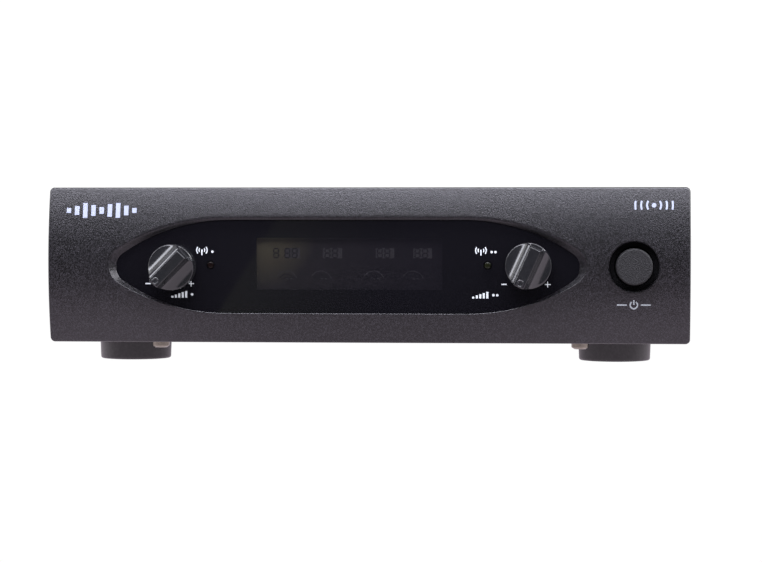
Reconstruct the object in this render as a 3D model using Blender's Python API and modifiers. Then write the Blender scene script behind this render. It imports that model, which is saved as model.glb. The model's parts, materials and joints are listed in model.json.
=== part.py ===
"""Half-rack dual wireless receiver: bowed fascia, folded steel case, controls, boards and rear sockets.

Frame: +X to the right of the fascia, +Y from the fascia to the rear, +Z up. The origin is on the
surface that the feet stand on, at the middle of the whole object's width and depth. Depths along Y
are given from the foremost line of the fascia, its crest, and depth_y() turns them into Y.
"""

import math

import bmesh
import bpy
from mathutils import Matrix, Vector

# Fascia
PANEL_WIDTH = 0.212
PANEL_HEIGHT = 0.0514
PANEL_BOTTOM = 0.0068
PANEL_MID_Z = PANEL_BOTTOM + PANEL_HEIGHT / 2
PANEL_BOW = 0.0036
PANEL_BACK = 0.0080
PANEL_WALL = 0.0026
PANEL_CORNER = 0.0015

# Almond opening and its window: an outline of straight lines, flank arcs and tip arcs
OPENING_X = -0.0067
OPENING_Z = PANEL_MID_Z - 0.00025
OPENING_HALF_LENGTH = 0.0767
OPENING_HALF_HEIGHT = 0.01515
OPENING_TIP_RADIUS = 0.0049
OPENING_FLANK_RADIUS = 0.0620
OPENING_DRAFT = 1.1
WINDOW_DEPTH = 0.0020
WINDOW_THICKNESS = 0.0025
WINDOW_OVERLAP = 0.0013

# Controls
KNOB_X = {"a": -0.06405, "b": 0.0533}
KNOB_Z = {"a": PANEL_MID_Z - 0.00065, "b": PANEL_MID_Z}
KNOB_BASE_RADIUS = 0.0077
KNOB_RIM_RADIUS = 0.0074
KNOB_HEIGHT = 0.0107
KNOB_FLOOR = 0.0057
KNOB_BORE = 0.0050
KNOB_TAIL = 0.0056
KNOB_BAR_HALF_WIDTH = 0.0016
KNOB_SCOOP_RADIUS = 0.0040
KNOB_WINDOW_GAP = 0.0008
KNOB_POINTER = {"a": math.radians(225), "b": math.radians(245)}
SHAFT_RADIUS = 0.0030
LED_X = {"a": -0.0519, "b": 0.0399}
LED_RADIUS = 0.0015
LED_COLLAR = 0.0046
BUTTON_X = 0.0877
BUTTON_Z = PANEL_MID_Z - 0.0003
BUTTON_HOLE_RADIUS = 0.0081
BUTTON_RADIUS = 0.0060
BUTTON_PROUD = 0.0036

# Case
CASE_FRONT = PANEL_BACK + 0.0003
CASE_DEPTH = 0.150
CASE_REAR = CASE_FRONT + CASE_DEPTH
CASE_BOTTOM = 0.0070
CHASSIS_SHEET = 0.0012
COVER_SHEET = 0.0010
CHASSIS_HALF_WIDTH = 0.1026
COVER_HALF_WIDTH = 0.1040
COVER_TOP = 0.0571
FOOT_RADIUS = 0.0123
FOOT_X = 0.0819
FOOT_FRONT = 0.0297
FOOT_REAR = 0.1370
PANEL_SCREW_X = 0.0702
PANEL_SCREW = 0.0122
COVER_SCREWS = {"front": 0.035, "rear": 0.133}
COVER_SCREW_Z = CASE_BOTTOM + 0.0060
SCREW_HEAD = 0.0021
VENTS = 8
VENT_FIRST = 0.066
VENT_PITCH = 0.0075
VENT_Z = 0.0360

# Boards
DISPLAY_BOARD = 0.0200
BOARD_THICKNESS = 0.0016
MAIN_BOARD_Z = 0.0140
MAIN_BOARD_FRONT = 0.032
MAIN_BOARD_REAR = 0.126
MAIN_BOARD_HALF_WIDTH = 0.080
MAIN_BOARD_SCREW_INSET = 0.005
STAKE_X = (-0.058, 0.046)
STAKE_RISE = 0.0195
DISPLAY_RISE = 0.0004
DISPLAY_HALF_SIZE = (0.0345, 0.0120)
DISPLAY_VIEW = (0.0309, 0.0086)
SHIELD_X = 0.055
SHIELD_REAR = 0.118
RIBBON_Z = 0.036

# Rear sockets
SOCKET_Z = 0.0320
ANTENNA_X = 0.0870
ANTENNA_Z = 0.0400
ANTENNA_PROUD = 0.0110
XLR_A_X = 0.0260
XLR_B_X = -0.0100
XLR_HALF_WIDTH = 0.0130
XLR_HALF_HEIGHT = 0.0155
XLR_FLANGE = 0.0020
XLR_BARREL = 0.0118
XLR_BORE = 0.0096
XLR_PINS = ((-0.0050, 0.0030), (0.0050, 0.0030), (0, -0.0052))
XLR_SCREWS = ((-0.0095, 0.0120), (0.0095, -0.0120))
JACK_X = -0.0450
JACK_Z = 0.0280
DC_X = 0.0610
DC_Z = 0.0260

GAP = 0.0003
THIN_GAP = 0.0001
OVERCUT = 0.004
ROUND_STEPS = 24
SMALL_STEPS = 12
TINY_STEPS = 8

WINDOW_BACK = WINDOW_DEPTH + WINDOW_THICKNESS
KNOB_BASE = WINDOW_DEPTH - KNOB_WINDOW_GAP
KNOB_FRONT = KNOB_BASE - KNOB_HEIGHT
MID_DEPTH = (KNOB_FRONT + CASE_REAR + ANTENNA_PROUD) / 2

COLOURS = {
    "fascia_grey": ((0.060, 0.058, 0.064), 0.55, 0.25),
    "window_black": ((0.006, 0.006, 0.008), 0.08, 0.0),
    "steel_black": ((0.030, 0.030, 0.033), 0.60, 0.2),
    "knob_black": ((0.035, 0.035, 0.040), 0.28, 0.0),
    "button_black": ((0.075, 0.075, 0.080), 0.70, 0.0),
    "foot_black": ((0.035, 0.033, 0.036), 0.50, 0.0),
    "plated_steel": ((0.62, 0.58, 0.53), 0.30, 1.0),
    "nickel": ((0.66, 0.65, 0.62), 0.25, 1.0),
    "board_green": ((0.020, 0.120, 0.060), 0.50, 0.0),
    "display_glass": ((0.035, 0.040, 0.030), 0.15, 0.0),
    "display_holder": ((0.020, 0.020, 0.022), 0.60, 0.0),
    "backlight_white": ((0.75, 0.76, 0.70), 0.50, 0.0),
    "led_clear": ((0.30, 0.34, 0.16), 0.15, 0.0),
    "tinned_steel": ((0.60, 0.60, 0.60), 0.35, 1.0),
    "moulded_black": ((0.022, 0.022, 0.024), 0.50, 0.0),
    "cable_grey": ((0.35, 0.35, 0.36), 0.55, 0.0),
}


def depth_y(depth):
    """Y of a point that lies depth behind the fascia's crest."""
    return depth - MID_DEPTH


# ---------------------------------------------------------------- scene and helpers


def clear_scene():
    for obj in list(bpy.data.objects):
        bpy.data.objects.remove(obj)


def make_collection(name):
    made = bpy.data.collections.new(name)
    bpy.context.scene.collection.children.link(made)
    return made


def material(slot):
    """The Principled material of a colour slot, made once."""
    found = bpy.data.materials.get(slot)
    if found:
        return found
    colour, roughness, metallic = COLOURS[slot]
    made = bpy.data.materials.new(slot)
    made.use_nodes = True
    shader = made.node_tree.nodes["Principled BSDF"]
    shader.inputs["Base Color"].default_value = (*colour, 1.0)
    shader.inputs["Roughness"].default_value = roughness
    shader.inputs["Metallic"].default_value = metallic
    return made


def add_object(name, mesh, slot=None):
    """Links a mesh as a part, or as a hidden cutter when it has no colour slot."""
    obj = bpy.data.objects.new(name, mesh)
    if slot is None:
        cutters.objects.link(obj)
        obj.hide_render = True
        obj.display_type = "WIRE"
    else:
        parts.objects.link(obj)
        obj.data.materials.append(material(slot))
    return obj


def mesh_from(bm, name):
    mesh = bpy.data.meshes.new(name)
    bmesh.ops.recalc_face_normals(bm, faces=bm.faces[:])
    bm.to_mesh(mesh)
    bm.free()
    return mesh


def box(name, low, high, slot=None, bevel=0.0):
    """An upright block between two corners, each (X, depth, Z)."""
    bm = bmesh.new()
    bmesh.ops.create_cube(bm, size=1.0)
    low, high = (Vector((x, depth_y(d), z)) for x, d, z in (low, high))
    bm.transform(Matrix.Diagonal((*(high - low), 1.0)))
    obj = add_object(name, mesh_from(bm, name), slot)
    obj.location = (low + high) / 2
    if bevel:
        edges = obj.modifiers.new("edges", "BEVEL")
        edges.width = bevel
        edges.segments = 2
        edges.limit_method = "ANGLE"
    return obj


def rod(name, x, z, front, rear, radius, slot=None, steps=ROUND_STEPS, rear_radius=None):
    """A round bar along Y from depth front to depth rear, or a cone where rear_radius is given."""
    bm = bmesh.new()
    bmesh.ops.create_cone(
        bm,
        cap_ends=True,
        segments=steps,
        radius1=rear_radius or radius,
        radius2=radius,
        depth=rear - front,
    )
    obj = add_object(name, mesh_from(bm, name), slot)
    obj.rotation_euler = (math.radians(90), 0, 0)
    obj.location = (x, depth_y((front + rear) / 2), z)
    return obj


def pillar(name, x, depth, bottom, top, radius, slot=None, steps=SMALL_STEPS):
    """A round bar along Z from bottom to top."""
    bm = bmesh.new()
    bmesh.ops.create_cone(
        bm, cap_ends=True, segments=steps, radius1=radius, radius2=radius, depth=top - bottom
    )
    obj = add_object(name, mesh_from(bm, name), slot)
    obj.location = (x, depth_y(depth), (bottom + top) / 2)
    return obj


def turned(name, profile, slot=None, steps=ROUND_STEPS):
    """A solid of revolution about its local Z, from (radius, height) points that run top to bottom."""
    mesh = bpy.data.meshes.new(name)
    mesh.from_pydata(
        [(radius, 0, height) for radius, height in profile],
        [(i, i + 1) for i in range(len(profile) - 1)],
        [],
    )
    obj = add_object(name, mesh, slot)
    screw = obj.modifiers.new("turn", "SCREW")
    screw.steps = steps
    screw.render_steps = steps
    screw.use_merge_vertices = True
    screw.merge_threshold = 0.00001
    return obj


def face_rear(obj, x, depth, z):
    """Turns a solid of revolution so that its local +Z points to the rear, and places its zero."""
    obj.rotation_euler = (math.radians(-90), 0, 0)
    obj.location = (x, depth_y(depth), z)
    return obj


def face_front(obj, x, depth, z):
    """Turns a solid of revolution so that its local +Z points to the front, and places its zero."""
    obj.rotation_euler = (math.radians(90), 0, 0)
    obj.location = (x, depth_y(depth), z)
    return obj


def prism(name, outline, half_thickness, slot=None):
    """A flat outline of (x, y) points in its local plane, extruded both ways, as a welded mesh."""
    curve = bpy.data.curves.new(name, "CURVE")
    curve.dimensions = "2D"
    curve.fill_mode = "BOTH"
    curve.extrude = half_thickness
    spline = curve.splines.new("POLY")
    spline.points.add(len(outline) - 1)
    for point, (x, y) in zip(spline.points, outline):
        point.co = (x, y, 0, 1)
    spline.use_cyclic_u = True
    guide = bpy.data.objects.new(name + "_outline", curve)
    parts.objects.link(guide)
    graph = bpy.context.evaluated_depsgraph_get()
    mesh = bpy.data.meshes.new_from_object(guide.evaluated_get(graph))
    bpy.data.objects.remove(guide)
    bm = bmesh.new()
    bm.from_mesh(mesh)
    bmesh.ops.remove_doubles(bm, verts=bm.verts[:], dist=0.000001)
    return add_object(name, mesh_from(bm, name), slot)


def boolean(obj, other, operation):
    modifier = obj.modifiers.new(operation.lower() + "_" + other.name, "BOOLEAN")
    modifier.operation = operation
    modifier.object = other
    modifier.solver = "EXACT"


def cut(obj, *tools):
    for tool in tools:
        boolean(obj, tool, "DIFFERENCE")


def join(obj, *others):
    for other in others:
        boolean(obj, other, "UNION")


def arc(centre, radius, start, end, steps):
    """Points on an arc, both ends included."""
    angles = [start + (end - start) * i / steps for i in range(steps + 1)]
    return [
        (centre[0] + radius * math.cos(a), centre[1] + radius * math.sin(a)) for a in angles
    ]


def rounded_rectangle(half_width, half_height, radius, steps):
    points = []
    for turn, (sx, sy) in enumerate(((1, 1), (-1, 1), (-1, -1), (1, -1))):
        centre = (sx * (half_width - radius), sy * (half_height - radius))
        start = turn * math.pi / 2
        points += arc(centre, radius, start, start + math.pi / 2, steps)
    return points


def hexagon(radius):
    return arc((0, 0), radius, 0, math.pi * 5 / 3, 5)


def almond(offset):
    """The opening's outline, grown by offset: tip arcs, flank arcs, and flats that join them."""
    tip_radius = OPENING_TIP_RADIUS + offset
    flank_radius = OPENING_FLANK_RADIUS + offset
    tip_x = OPENING_HALF_LENGTH - OPENING_TIP_RADIUS
    drop = OPENING_FLANK_RADIUS - OPENING_HALF_HEIGHT
    reach = math.sqrt((OPENING_FLANK_RADIUS - OPENING_TIP_RADIUS) ** 2 - drop**2)
    flank_x = tip_x - reach
    blend = math.atan2(drop, reach)
    quarter = arc((tip_x, 0), tip_radius, 0, blend, 7)
    quarter += arc((flank_x, -drop), flank_radius, blend, math.pi / 2, 9)[1:]
    upper = quarter + [(-x, y) for x, y in reversed(quarter)]
    lower = [(x, -y) for x, y in reversed(upper)][1:-1]
    return upper + lower


# ---------------------------------------------------------------- fascia and window


def bowed_prism(name, front, rear, half_width, half_height, slot=None):
    """A bar along X whose front is the fascia's arc, moved back by front, and whose rear is flat."""
    chord = PANEL_HEIGHT / 2
    radius = (chord**2 + PANEL_BOW**2) / (2 * PANEL_BOW)
    limit = math.asin(half_height / radius)
    outline = [
        (depth_y(front) + radius - x, y)
        for x, y in arc((0, 0), radius, -limit, limit, 14)
    ]
    outline += [(depth_y(rear), half_height), (depth_y(rear), -half_height)]
    obj = prism(name, outline, half_width, slot)
    obj.matrix_world = Matrix(
        ((0, 0, 1, 0), (1, 0, 0, 0), (0, 1, 0, PANEL_MID_Z), (0, 0, 0, 1))
    )
    return obj


def upright_plate(name, outline, x, front, rear, z, slot=None):
    """A flat plate that faces the front, from an (X, Z) outline, between two depths."""
    obj = prism(name, outline, (rear - front) / 2, slot)
    obj.rotation_euler = (math.radians(90), 0, 0)
    obj.location = (x, depth_y((front + rear) / 2), z)
    return obj


def opening_cutter():
    """The drafted almond: narrow at the window's face and wider towards the front."""
    bm = bmesh.new()
    rings = []
    for depth in (WINDOW_DEPTH + GAP, -OVERCUT):
        offset = OPENING_DRAFT * (WINDOW_DEPTH - depth)
        ring = [
            bm.verts.new((x + OPENING_X, depth_y(depth), y + OPENING_Z))
            for x, y in almond(offset)
        ]
        rings.append([bm.edges.new((a, b)) for a, b in zip(ring, ring[1:] + ring[:1])])
    bmesh.ops.bridge_loops(bm, edges=rings[0] + rings[1])
    for edges in rings:
        bmesh.ops.contextual_create(bm, geom=edges)
    return add_object("opening_cutter", mesh_from(bm, "opening_cutter"))


def front_panel():
    """The bowed shell with its almond opening, button hole, screw lugs and board pillars."""
    panel = bowed_prism(
        "front_panel", 0, PANEL_BACK, PANEL_WIDTH / 2, PANEL_HEIGHT / 2, "fascia_grey"
    )
    corners = rounded_rectangle(PANEL_WIDTH / 2, PANEL_HEIGHT / 2, PANEL_CORNER, 4)
    face = upright_plate(
        "panel_corners", corners, 0, -OVERCUT, PANEL_BACK + OVERCUT, PANEL_MID_Z
    )
    boolean(panel, face, "INTERSECT")
    hollow = bowed_prism(
        "panel_hollow",
        PANEL_WALL,
        PANEL_BACK + OVERCUT,
        PANEL_WIDTH / 2 - PANEL_WALL,
        PANEL_HEIGHT / 2 - PANEL_WALL,
    )
    cut(panel, hollow)
    pocket = upright_plate(
        "window_pocket",
        almond(WINDOW_OVERLAP + THIN_GAP),
        OPENING_X,
        WINDOW_DEPTH,
        PANEL_BACK + OVERCUT,
        OPENING_Z,
    )
    button_hole = rod(
        "button_hole", BUTTON_X, BUTTON_Z, -OVERCUT, PANEL_WALL + GAP, BUTTON_HOLE_RADIUS
    )
    cut(panel, pocket, opening_cutter(), button_hole)
    for side in (-1, 1):
        x = side * PANEL_SCREW_X
        lug = box(
            f"panel_lug_{side}",
            (x - 0.0050, PANEL_BACK - 0.0030, PANEL_BOTTOM + 0.0018),
            (x + 0.0050, 0.0170, PANEL_BOTTOM + 0.0070),
        )
        join(panel, lug)
        cut(panel, pillar(f"lug_hole_{side}", x, PANEL_SCREW, 0, 0.0120, 0.0014))
    for x in STAKE_X:
        for side in (-1, 1):
            stake = rod(
                f"board_stake_{x:.3f}_{side}",
                x,
                PANEL_MID_Z + side * STAKE_RISE,
                PANEL_WALL,
                DISPLAY_BOARD - GAP,
                0.0022,
                steps=TINY_STEPS,
            )
            join(panel, stake)
    return panel


def display_window():
    """The smoked almond plate, with a hole for each shaft and each signal light."""
    window = upright_plate(
        "display_window",
        almond(WINDOW_OVERLAP),
        OPENING_X,
        WINDOW_DEPTH + THIN_GAP,
        WINDOW_BACK,
        OPENING_Z,
        "window_black",
    )
    for letter in "ab":
        holes = (
            ("shaft", KNOB_X[letter], KNOB_Z[letter], SHAFT_RADIUS + 0.0006),
            ("led", LED_X[letter], PANEL_MID_Z, LED_RADIUS + 0.0002),
        )
        for what, x, z, radius in holes:
            cutter = rod(
                f"window_{what}_hole_{letter}",
                x,
                z,
                -OVERCUT,
                WINDOW_BACK + OVERCUT,
                radius,
                steps=SMALL_STEPS,
            )
            cut(window, cutter)
    return window


# ---------------------------------------------------------------- controls


def volume_knob(name, x, z, pointer):
    """A round knob with a straight grip: two scoops and a squared tail leave a bar along pointer."""
    body = turned(
        name,
        [
            (0, KNOB_HEIGHT),
            (KNOB_RIM_RADIUS - 0.0006, KNOB_HEIGHT),
            (KNOB_RIM_RADIUS - 0.0002, KNOB_HEIGHT - 0.0003),
            (KNOB_BASE_RADIUS, 0.0010),
            (KNOB_BASE_RADIUS, 0),
            (SHAFT_RADIUS + THIN_GAP, 0),
            (SHAFT_RADIUS + THIN_GAP, KNOB_BORE),
            (0, KNOB_BORE),
        ],
        "knob_black",
        steps=30,
    )
    face_front(body, x, KNOB_BASE, z)
    radius = KNOB_SCOOP_RADIUS
    foot = KNOB_BAR_HALF_WIDTH + radius
    corner = arc((foot, KNOB_FLOOR + radius), radius, math.pi, math.pi * 1.5, 7)
    side = [(KNOB_BAR_HALF_WIDTH - 0.0001, KNOB_HEIGHT + OVERCUT)] + corner
    side += [(0.012, KNOB_FLOOR), (0.012, KNOB_HEIGHT + OVERCUT)]
    tail = bmesh.new()
    bmesh.ops.create_cube(tail, size=1.0)
    width, height, reach = 0.020, 0.010, 0.006
    tail.transform(Matrix.Diagonal((width, height, reach, 1.0)))
    tail.transform(Matrix.Translation((0, KNOB_FLOOR + height / 2, -KNOB_TAIL - reach / 2)))
    tools = [add_object(f"{name}_tail", mesh_from(tail, f"{name}_tail"))]
    for sign in (-1, 1):
        tools.append(prism(f"{name}_scoop_{sign}", [(sign * u, v) for u, v in side], 0.012))
    turn = Matrix.Rotation(-pointer, 4, "Y")
    stand = Matrix(((0, 0, 1, 0), (0, -1, 0, 0), (1, 0, 0, 0), (0, 0, 0, 1)))
    place = Matrix.Translation((x, depth_y(KNOB_BASE), z))
    for tool in tools:
        tool.matrix_world = place @ turn @ stand
    cut(body, *tools)
    return body


def potentiometer(letter, x, z):
    """The pot's case and its shaft, which turns with the knob."""
    half = 0.0065
    shaft_rear = 0.0168
    case = box(
        f"pot_body_{letter}",
        (x - half, CASE_FRONT + 0.0015, z - half),
        (x + half, DISPLAY_BOARD - GAP, z + half),
        "moulded_black",
    )
    join(case, rod(f"pot_bushing_{letter}", x, z, WINDOW_BACK + GAP, 0.0110, 0.0035))
    cut(case, rod(f"pot_bore_{letter}", x, z, 0, shaft_rear + 0.0004, SHAFT_RADIUS + 0.00009))
    shaft_front = KNOB_BASE - KNOB_BORE + GAP
    rod(f"pot_shaft_{letter}", x, z, shaft_front, shaft_rear, SHAFT_RADIUS, "nickel")


def signal_led(name, x):
    """A small domed light on its spacer."""
    rear = DISPLAY_BOARD - GAP
    length = rear - WINDOW_DEPTH - GAP
    dome = [
        (LED_RADIUS * math.sin(a), length - LED_RADIUS * (1 - math.cos(a)))
        for a in (math.radians(d) for d in (0, 30, 60, 90))
    ]
    spacer = length - LED_COLLAR + 0.0010
    profile = dome + [
        (LED_RADIUS, spacer),
        (LED_RADIUS + 0.0004, spacer),
        (LED_RADIUS + 0.0004, 0),
        (0, 0),
    ]
    face_front(turned(name, profile, "led_clear", steps=TINY_STEPS), x, rear, PANEL_MID_Z)


def power_control():
    """The round button on its stem, the collar that guides it, and the latching switch."""
    front = -BUTTON_PROUD
    skirt_rear = 0.0050
    stem_rear = 0.0090
    stem = 0.0032
    cap = turned(
        "power_button",
        [
            (0, 0),
            (BUTTON_RADIUS - 0.0008, 0),
            (BUTTON_RADIUS - 0.0002, -0.0002),
            (BUTTON_RADIUS, -0.0008),
            (BUTTON_RADIUS, front - skirt_rear),
            (stem, front - skirt_rear),
            (stem, front - stem_rear),
            (0, front - stem_rear),
        ],
        "button_black",
    )
    face_front(cap, BUTTON_X, front, BUTTON_Z)
    plunger = 0.0015
    cut(cap, square_bar("stem_socket", plunger + THIN_GAP, 0.0052, stem_rear + OVERCUT))
    square_bar("power_switch_plunger", plunger, 0.0055, 0.0150, "moulded_black")
    body_front = 0.0125
    body = square_bar("power_switch_body", 0.0043, body_front, DISPLAY_BOARD - GAP, "tinned_steel")
    cut(body, square_bar("switch_channel", plunger + THIN_GAP, body_front - OVERCUT, 0.0186))
    collar_front = PANEL_WALL + 0.0009
    collar = rod(
        "button_collar", BUTTON_X, BUTTON_Z, collar_front, PANEL_BACK, 0.0098, "moulded_black"
    )
    bore = BUTTON_RADIUS + 0.0003
    cut(collar, rod("collar_bore", BUTTON_X, BUTTON_Z, -OVERCUT, PANEL_BACK + OVERCUT, bore))


def square_bar(name, half, front, rear, slot=None):
    """A square bar along Y behind the power button."""
    return box(
        name,
        (BUTTON_X - half, front, BUTTON_Z - half),
        (BUTTON_X + half, rear, BUTTON_Z + half),
        slot,
    )


# ---------------------------------------------------------------- case


def base_chassis():
    """One folded sheet: floor, front frame, rear wall and side lips, with bosses for the board."""
    half = CHASSIS_HALF_WIDTH
    floor_top = CASE_BOTTOM + CHASSIS_SHEET
    wall_top = COVER_TOP - COVER_SHEET - GAP
    chassis = box(
        "base_chassis",
        (-half, CASE_FRONT, CASE_BOTTOM),
        (half, CASE_REAR, wall_top),
        "steel_black",
    )
    inner = half - CHASSIS_SHEET
    inside_front = CASE_FRONT + CHASSIS_SHEET
    inside_rear = CASE_REAR - CHASSIS_SHEET
    room = box(
        "chassis_room",
        (-inner, inside_front, floor_top),
        (inner, inside_rear, wall_top + OVERCUT),
    )
    lip_top = CASE_BOTTOM + 0.0110
    sides = box(
        "chassis_sides",
        (-half - OVERCUT, inside_front, lip_top),
        (half + OVERCUT, inside_rear, wall_top + OVERCUT),
    )
    frame = box(
        "front_frame_opening",
        (-0.090, 0, CASE_BOTTOM + 0.0030),
        (0.098, inside_front + GAP, wall_top - 0.0010),
    )
    cut(chassis, room, sides, frame)
    for side in (-1, 1):
        cut_side_holes(chassis, side, floor_top, inside_front)
    for x, depth in board_corners():
        spot = f"{x:.3f}_{depth:.3f}"
        boss_bottom, boss_top = floor_top - 0.0005, MAIN_BOARD_Z - GAP
        join(chassis, pillar(f"board_boss_{spot}", x, depth, boss_bottom, boss_top, 0.0030))
        cut(chassis, pillar(f"boss_hole_{spot}", x, depth, 0.0100, 0.0160, 0.0013, steps=TINY_STEPS))
    cut(chassis, *rear_wall_holes())
    return chassis


def cut_side_holes(chassis, side, floor_top, inside_front):
    """The holes near one side: for the fascia's screw and lug, the feet and the cover's screws."""
    x = side * PANEL_SCREW_X
    notch = box(
        f"lug_notch_{side}",
        (x - 0.0056, 0, floor_top),
        (x + 0.0056, inside_front + GAP, CASE_BOTTOM + 0.0080),
    )
    cut(chassis, notch)
    holes = [("panel", x, PANEL_SCREW)]
    holes += [("foot_front", side * FOOT_X, FOOT_FRONT), ("foot_rear", side * FOOT_X, FOOT_REAR)]
    for name, hole_x, depth in holes:
        cut(chassis, pillar(f"{name}_hole_{side}", hole_x, depth, 0, 0.0090, 0.0017))
    for where, depth in COVER_SCREWS.items():
        cut(chassis, side_hole(f"lip_hole_{where}_{side}", side * CHASSIS_HALF_WIDTH, depth, 0.0014))


def side_hole(name, x, depth, radius):
    """A cutter along X for one of the cover's screws."""
    hole = rod(name, 0, 0, 0, 0.008, radius, steps=TINY_STEPS)
    hole.rotation_euler = (0, math.radians(90), 0)
    hole.location = (x, depth_y(depth), COVER_SCREW_Z)
    return hole


def rear_wall_holes():
    """Cutters for the sockets that pass through the rear wall."""
    front, rear = CASE_REAR - OVERCUT, CASE_REAR + OVERCUT
    rounds = [
        ("antenna_hole_a", ANTENNA_X, ANTENNA_Z, 0.0049),
        ("antenna_hole_b", -ANTENNA_X, ANTENNA_Z, 0.0049),
        ("xlr_hole_a", XLR_A_X, SOCKET_Z, 0.0121),
        ("xlr_hole_b", XLR_B_X, SOCKET_Z, 0.0121),
        ("jack_hole", JACK_X, JACK_Z, 0.0047),
        ("dc_hole", DC_X, DC_Z, 0.0042),
    ]
    tools = [rod(name, x, z, front, rear, radius) for name, x, z, radius in rounds]
    for letter, x in (("a", XLR_A_X), ("b", XLR_B_X)):
        for i, (dx, dz) in enumerate(XLR_SCREWS, 1):
            name = f"xlr_screw_hole_{letter}_{i}"
            tools.append(rod(name, x + dx, SOCKET_Z + dz, front, rear, 0.0016, steps=TINY_STEPS))
    return tools


def board_corners():
    """(X, depth) of the four screws that hold the main board."""
    inset = MAIN_BOARD_SCREW_INSET
    x = MAIN_BOARD_HALF_WIDTH - inset
    return [
        (sx * x, depth)
        for sx in (-1, 1)
        for depth in (MAIN_BOARD_FRONT + inset, MAIN_BOARD_REAR - inset)
    ]


def top_cover():
    """The folded lid: top and two sides, with vent slots and screw holes in the sides."""
    bottom = CASE_BOTTOM + GAP
    cover = box(
        "top_cover",
        (-COVER_HALF_WIDTH, CASE_FRONT, bottom),
        (COVER_HALF_WIDTH, CASE_REAR, COVER_TOP),
        "steel_black",
        bevel=0.0008,
    )
    room = box(
        "cover_room",
        (-COVER_HALF_WIDTH + COVER_SHEET, CASE_FRONT - OVERCUT, bottom - OVERCUT),
        (COVER_HALF_WIDTH - COVER_SHEET, CASE_REAR + OVERCUT, COVER_TOP - COVER_SHEET),
    )
    cut(cover, room)
    for side in (-1, 1):
        for where, depth in COVER_SCREWS.items():
            cut(cover, side_hole(f"side_hole_{where}_{side}", side * COVER_HALF_WIDTH, depth, 0.0017))
    slot_ends = rounded_rectangle(0.0012, 0.0110, 0.0011, 2)
    for i in range(VENTS):
        slot = prism(f"vent_slot_{i}", slot_ends, COVER_HALF_WIDTH + OVERCUT)
        slot.rotation_euler = (math.radians(90), 0, math.radians(90))
        slot.location = (0, depth_y(VENT_FIRST + VENT_PITCH * i), VENT_Z)
        cut(cover, slot)
    return cover


def foot(name, x, depth):
    """A tapered round foot with a recess for its screw."""
    top = CASE_BOTTOM - GAP
    shank_hole, recess, seat = 0.0019, 0.0042, 0.0030
    body = turned(
        name,
        [
            (shank_hole, top),
            (FOOT_RADIUS, top),
            (FOOT_RADIUS - 0.0003, 0.0012),
            (FOOT_RADIUS - 0.0007, 0.0004),
            (FOOT_RADIUS - 0.0015, 0),
            (recess, 0),
            (recess, seat),
            (shank_hole, seat),
            (shank_hole, top),
        ],
        "foot_black",
    )
    body.location = (x, depth_y(depth), 0)
    return body


def upright_screw(name, x, depth, head_bottom, tip):
    """A pan-head screw driven upwards: its head hangs below the sheet."""
    shank, radius = 0.0013, 0.0029
    shoulder = head_bottom + SCREW_HEAD
    recess = head_bottom + 0.0008
    screw = turned(
        name,
        [
            (0, tip),
            (shank * 0.6, tip),
            (shank, tip - 0.0006),
            (shank, shoulder),
            (radius, shoulder),
            (radius, head_bottom + SCREW_HEAD * 0.55),
            (radius * 0.72, head_bottom + SCREW_HEAD * 0.10),
            (0.0011, head_bottom),
            (0.0008, recess),
            (0, recess),
        ],
        "plated_steel",
        steps=SMALL_STEPS,
    )
    screw.location = (x, depth_y(depth), 0)
    return screw


def side_screw(name, side, depth):
    """A pan-head screw that holds the cover's side to the chassis lip."""
    screw = turned(
        name,
        [
            (0, 0.0017),
            (0.0017, 0.0015),
            (0.0025, 0.0008),
            (0.0026, 0),
            (0.0012, 0),
            (0.0012, -0.0050),
            (0, -0.0056),
        ],
        "plated_steel",
        steps=SMALL_STEPS,
    )
    screw.rotation_euler = (0, side * math.radians(90), 0)
    screw.location = (side * (COVER_HALF_WIDTH + THIN_GAP), depth_y(depth), COVER_SCREW_Z)


def fasteners_and_feet():
    for side, word in ((-1, "left"), (1, "right")):
        head_bottom = CASE_BOTTOM - GAP - SCREW_HEAD
        upright_screw(
            f"panel_screw_{word}", side * PANEL_SCREW_X, PANEL_SCREW, head_bottom, 0.0115
        )
        for where, depth in (("front", FOOT_FRONT), ("rear", FOOT_REAR)):
            x = side * FOOT_X
            foot(f"foot_{where}_{word}", x, depth)
            head_bottom = 0.0030 - GAP - SCREW_HEAD
            upright_screw(f"foot_screw_{where}_{word}", x, depth, head_bottom, 0.0108)
        for where, depth in COVER_SCREWS.items():
            side_screw(f"cover_screw_{where}_{word}", side, depth)


# ---------------------------------------------------------------- display and boards


def display_stack():
    """Holder, glass and backlight of the display, on its upright board."""
    half_x, half_z = DISPLAY_HALF_SIZE
    view_x, view_z = DISPLAY_VIEW
    mid = (LED_X["a"] + LED_X["b"]) / 2
    z = PANEL_MID_Z + DISPLAY_RISE
    rear = DISPLAY_BOARD - GAP
    wall = 0.0012
    holder = box(
        "lcd_holder",
        (mid - half_x, WINDOW_BACK + GAP, z - half_z),
        (mid + half_x, rear, z + half_z),
        "display_holder",
    )
    view = box("lcd_view", (mid - view_x, 0, z - view_z), (mid + view_x, rear + OVERCUT, z + view_z))
    room = box(
        "lcd_room",
        (mid - half_x + wall, 0.0058, z - half_z + wall),
        (mid + half_x - wall, rear + OVERCUT, z + half_z - wall),
    )
    cut(holder, view, room)
    inner_x, inner_z = half_x - wall - GAP, half_z - wall - GAP
    for name, front, back, slot in (
        ("lcd_glass", 0.0061, 0.0085, "display_glass"),
        ("lcd_backlight", 0.0088, 0.0128, "backlight_white"),
    ):
        box(name, (mid - inner_x, front, z - inner_z), (mid + inner_x, back, z + inner_z), slot)
    box(
        "display_board",
        (-0.084, DISPLAY_BOARD, PANEL_MID_Z - 0.0215),
        (0.096, DISPLAY_BOARD + BOARD_THICKNESS, PANEL_MID_Z + 0.0225),
        "board_green",
    )


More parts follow.
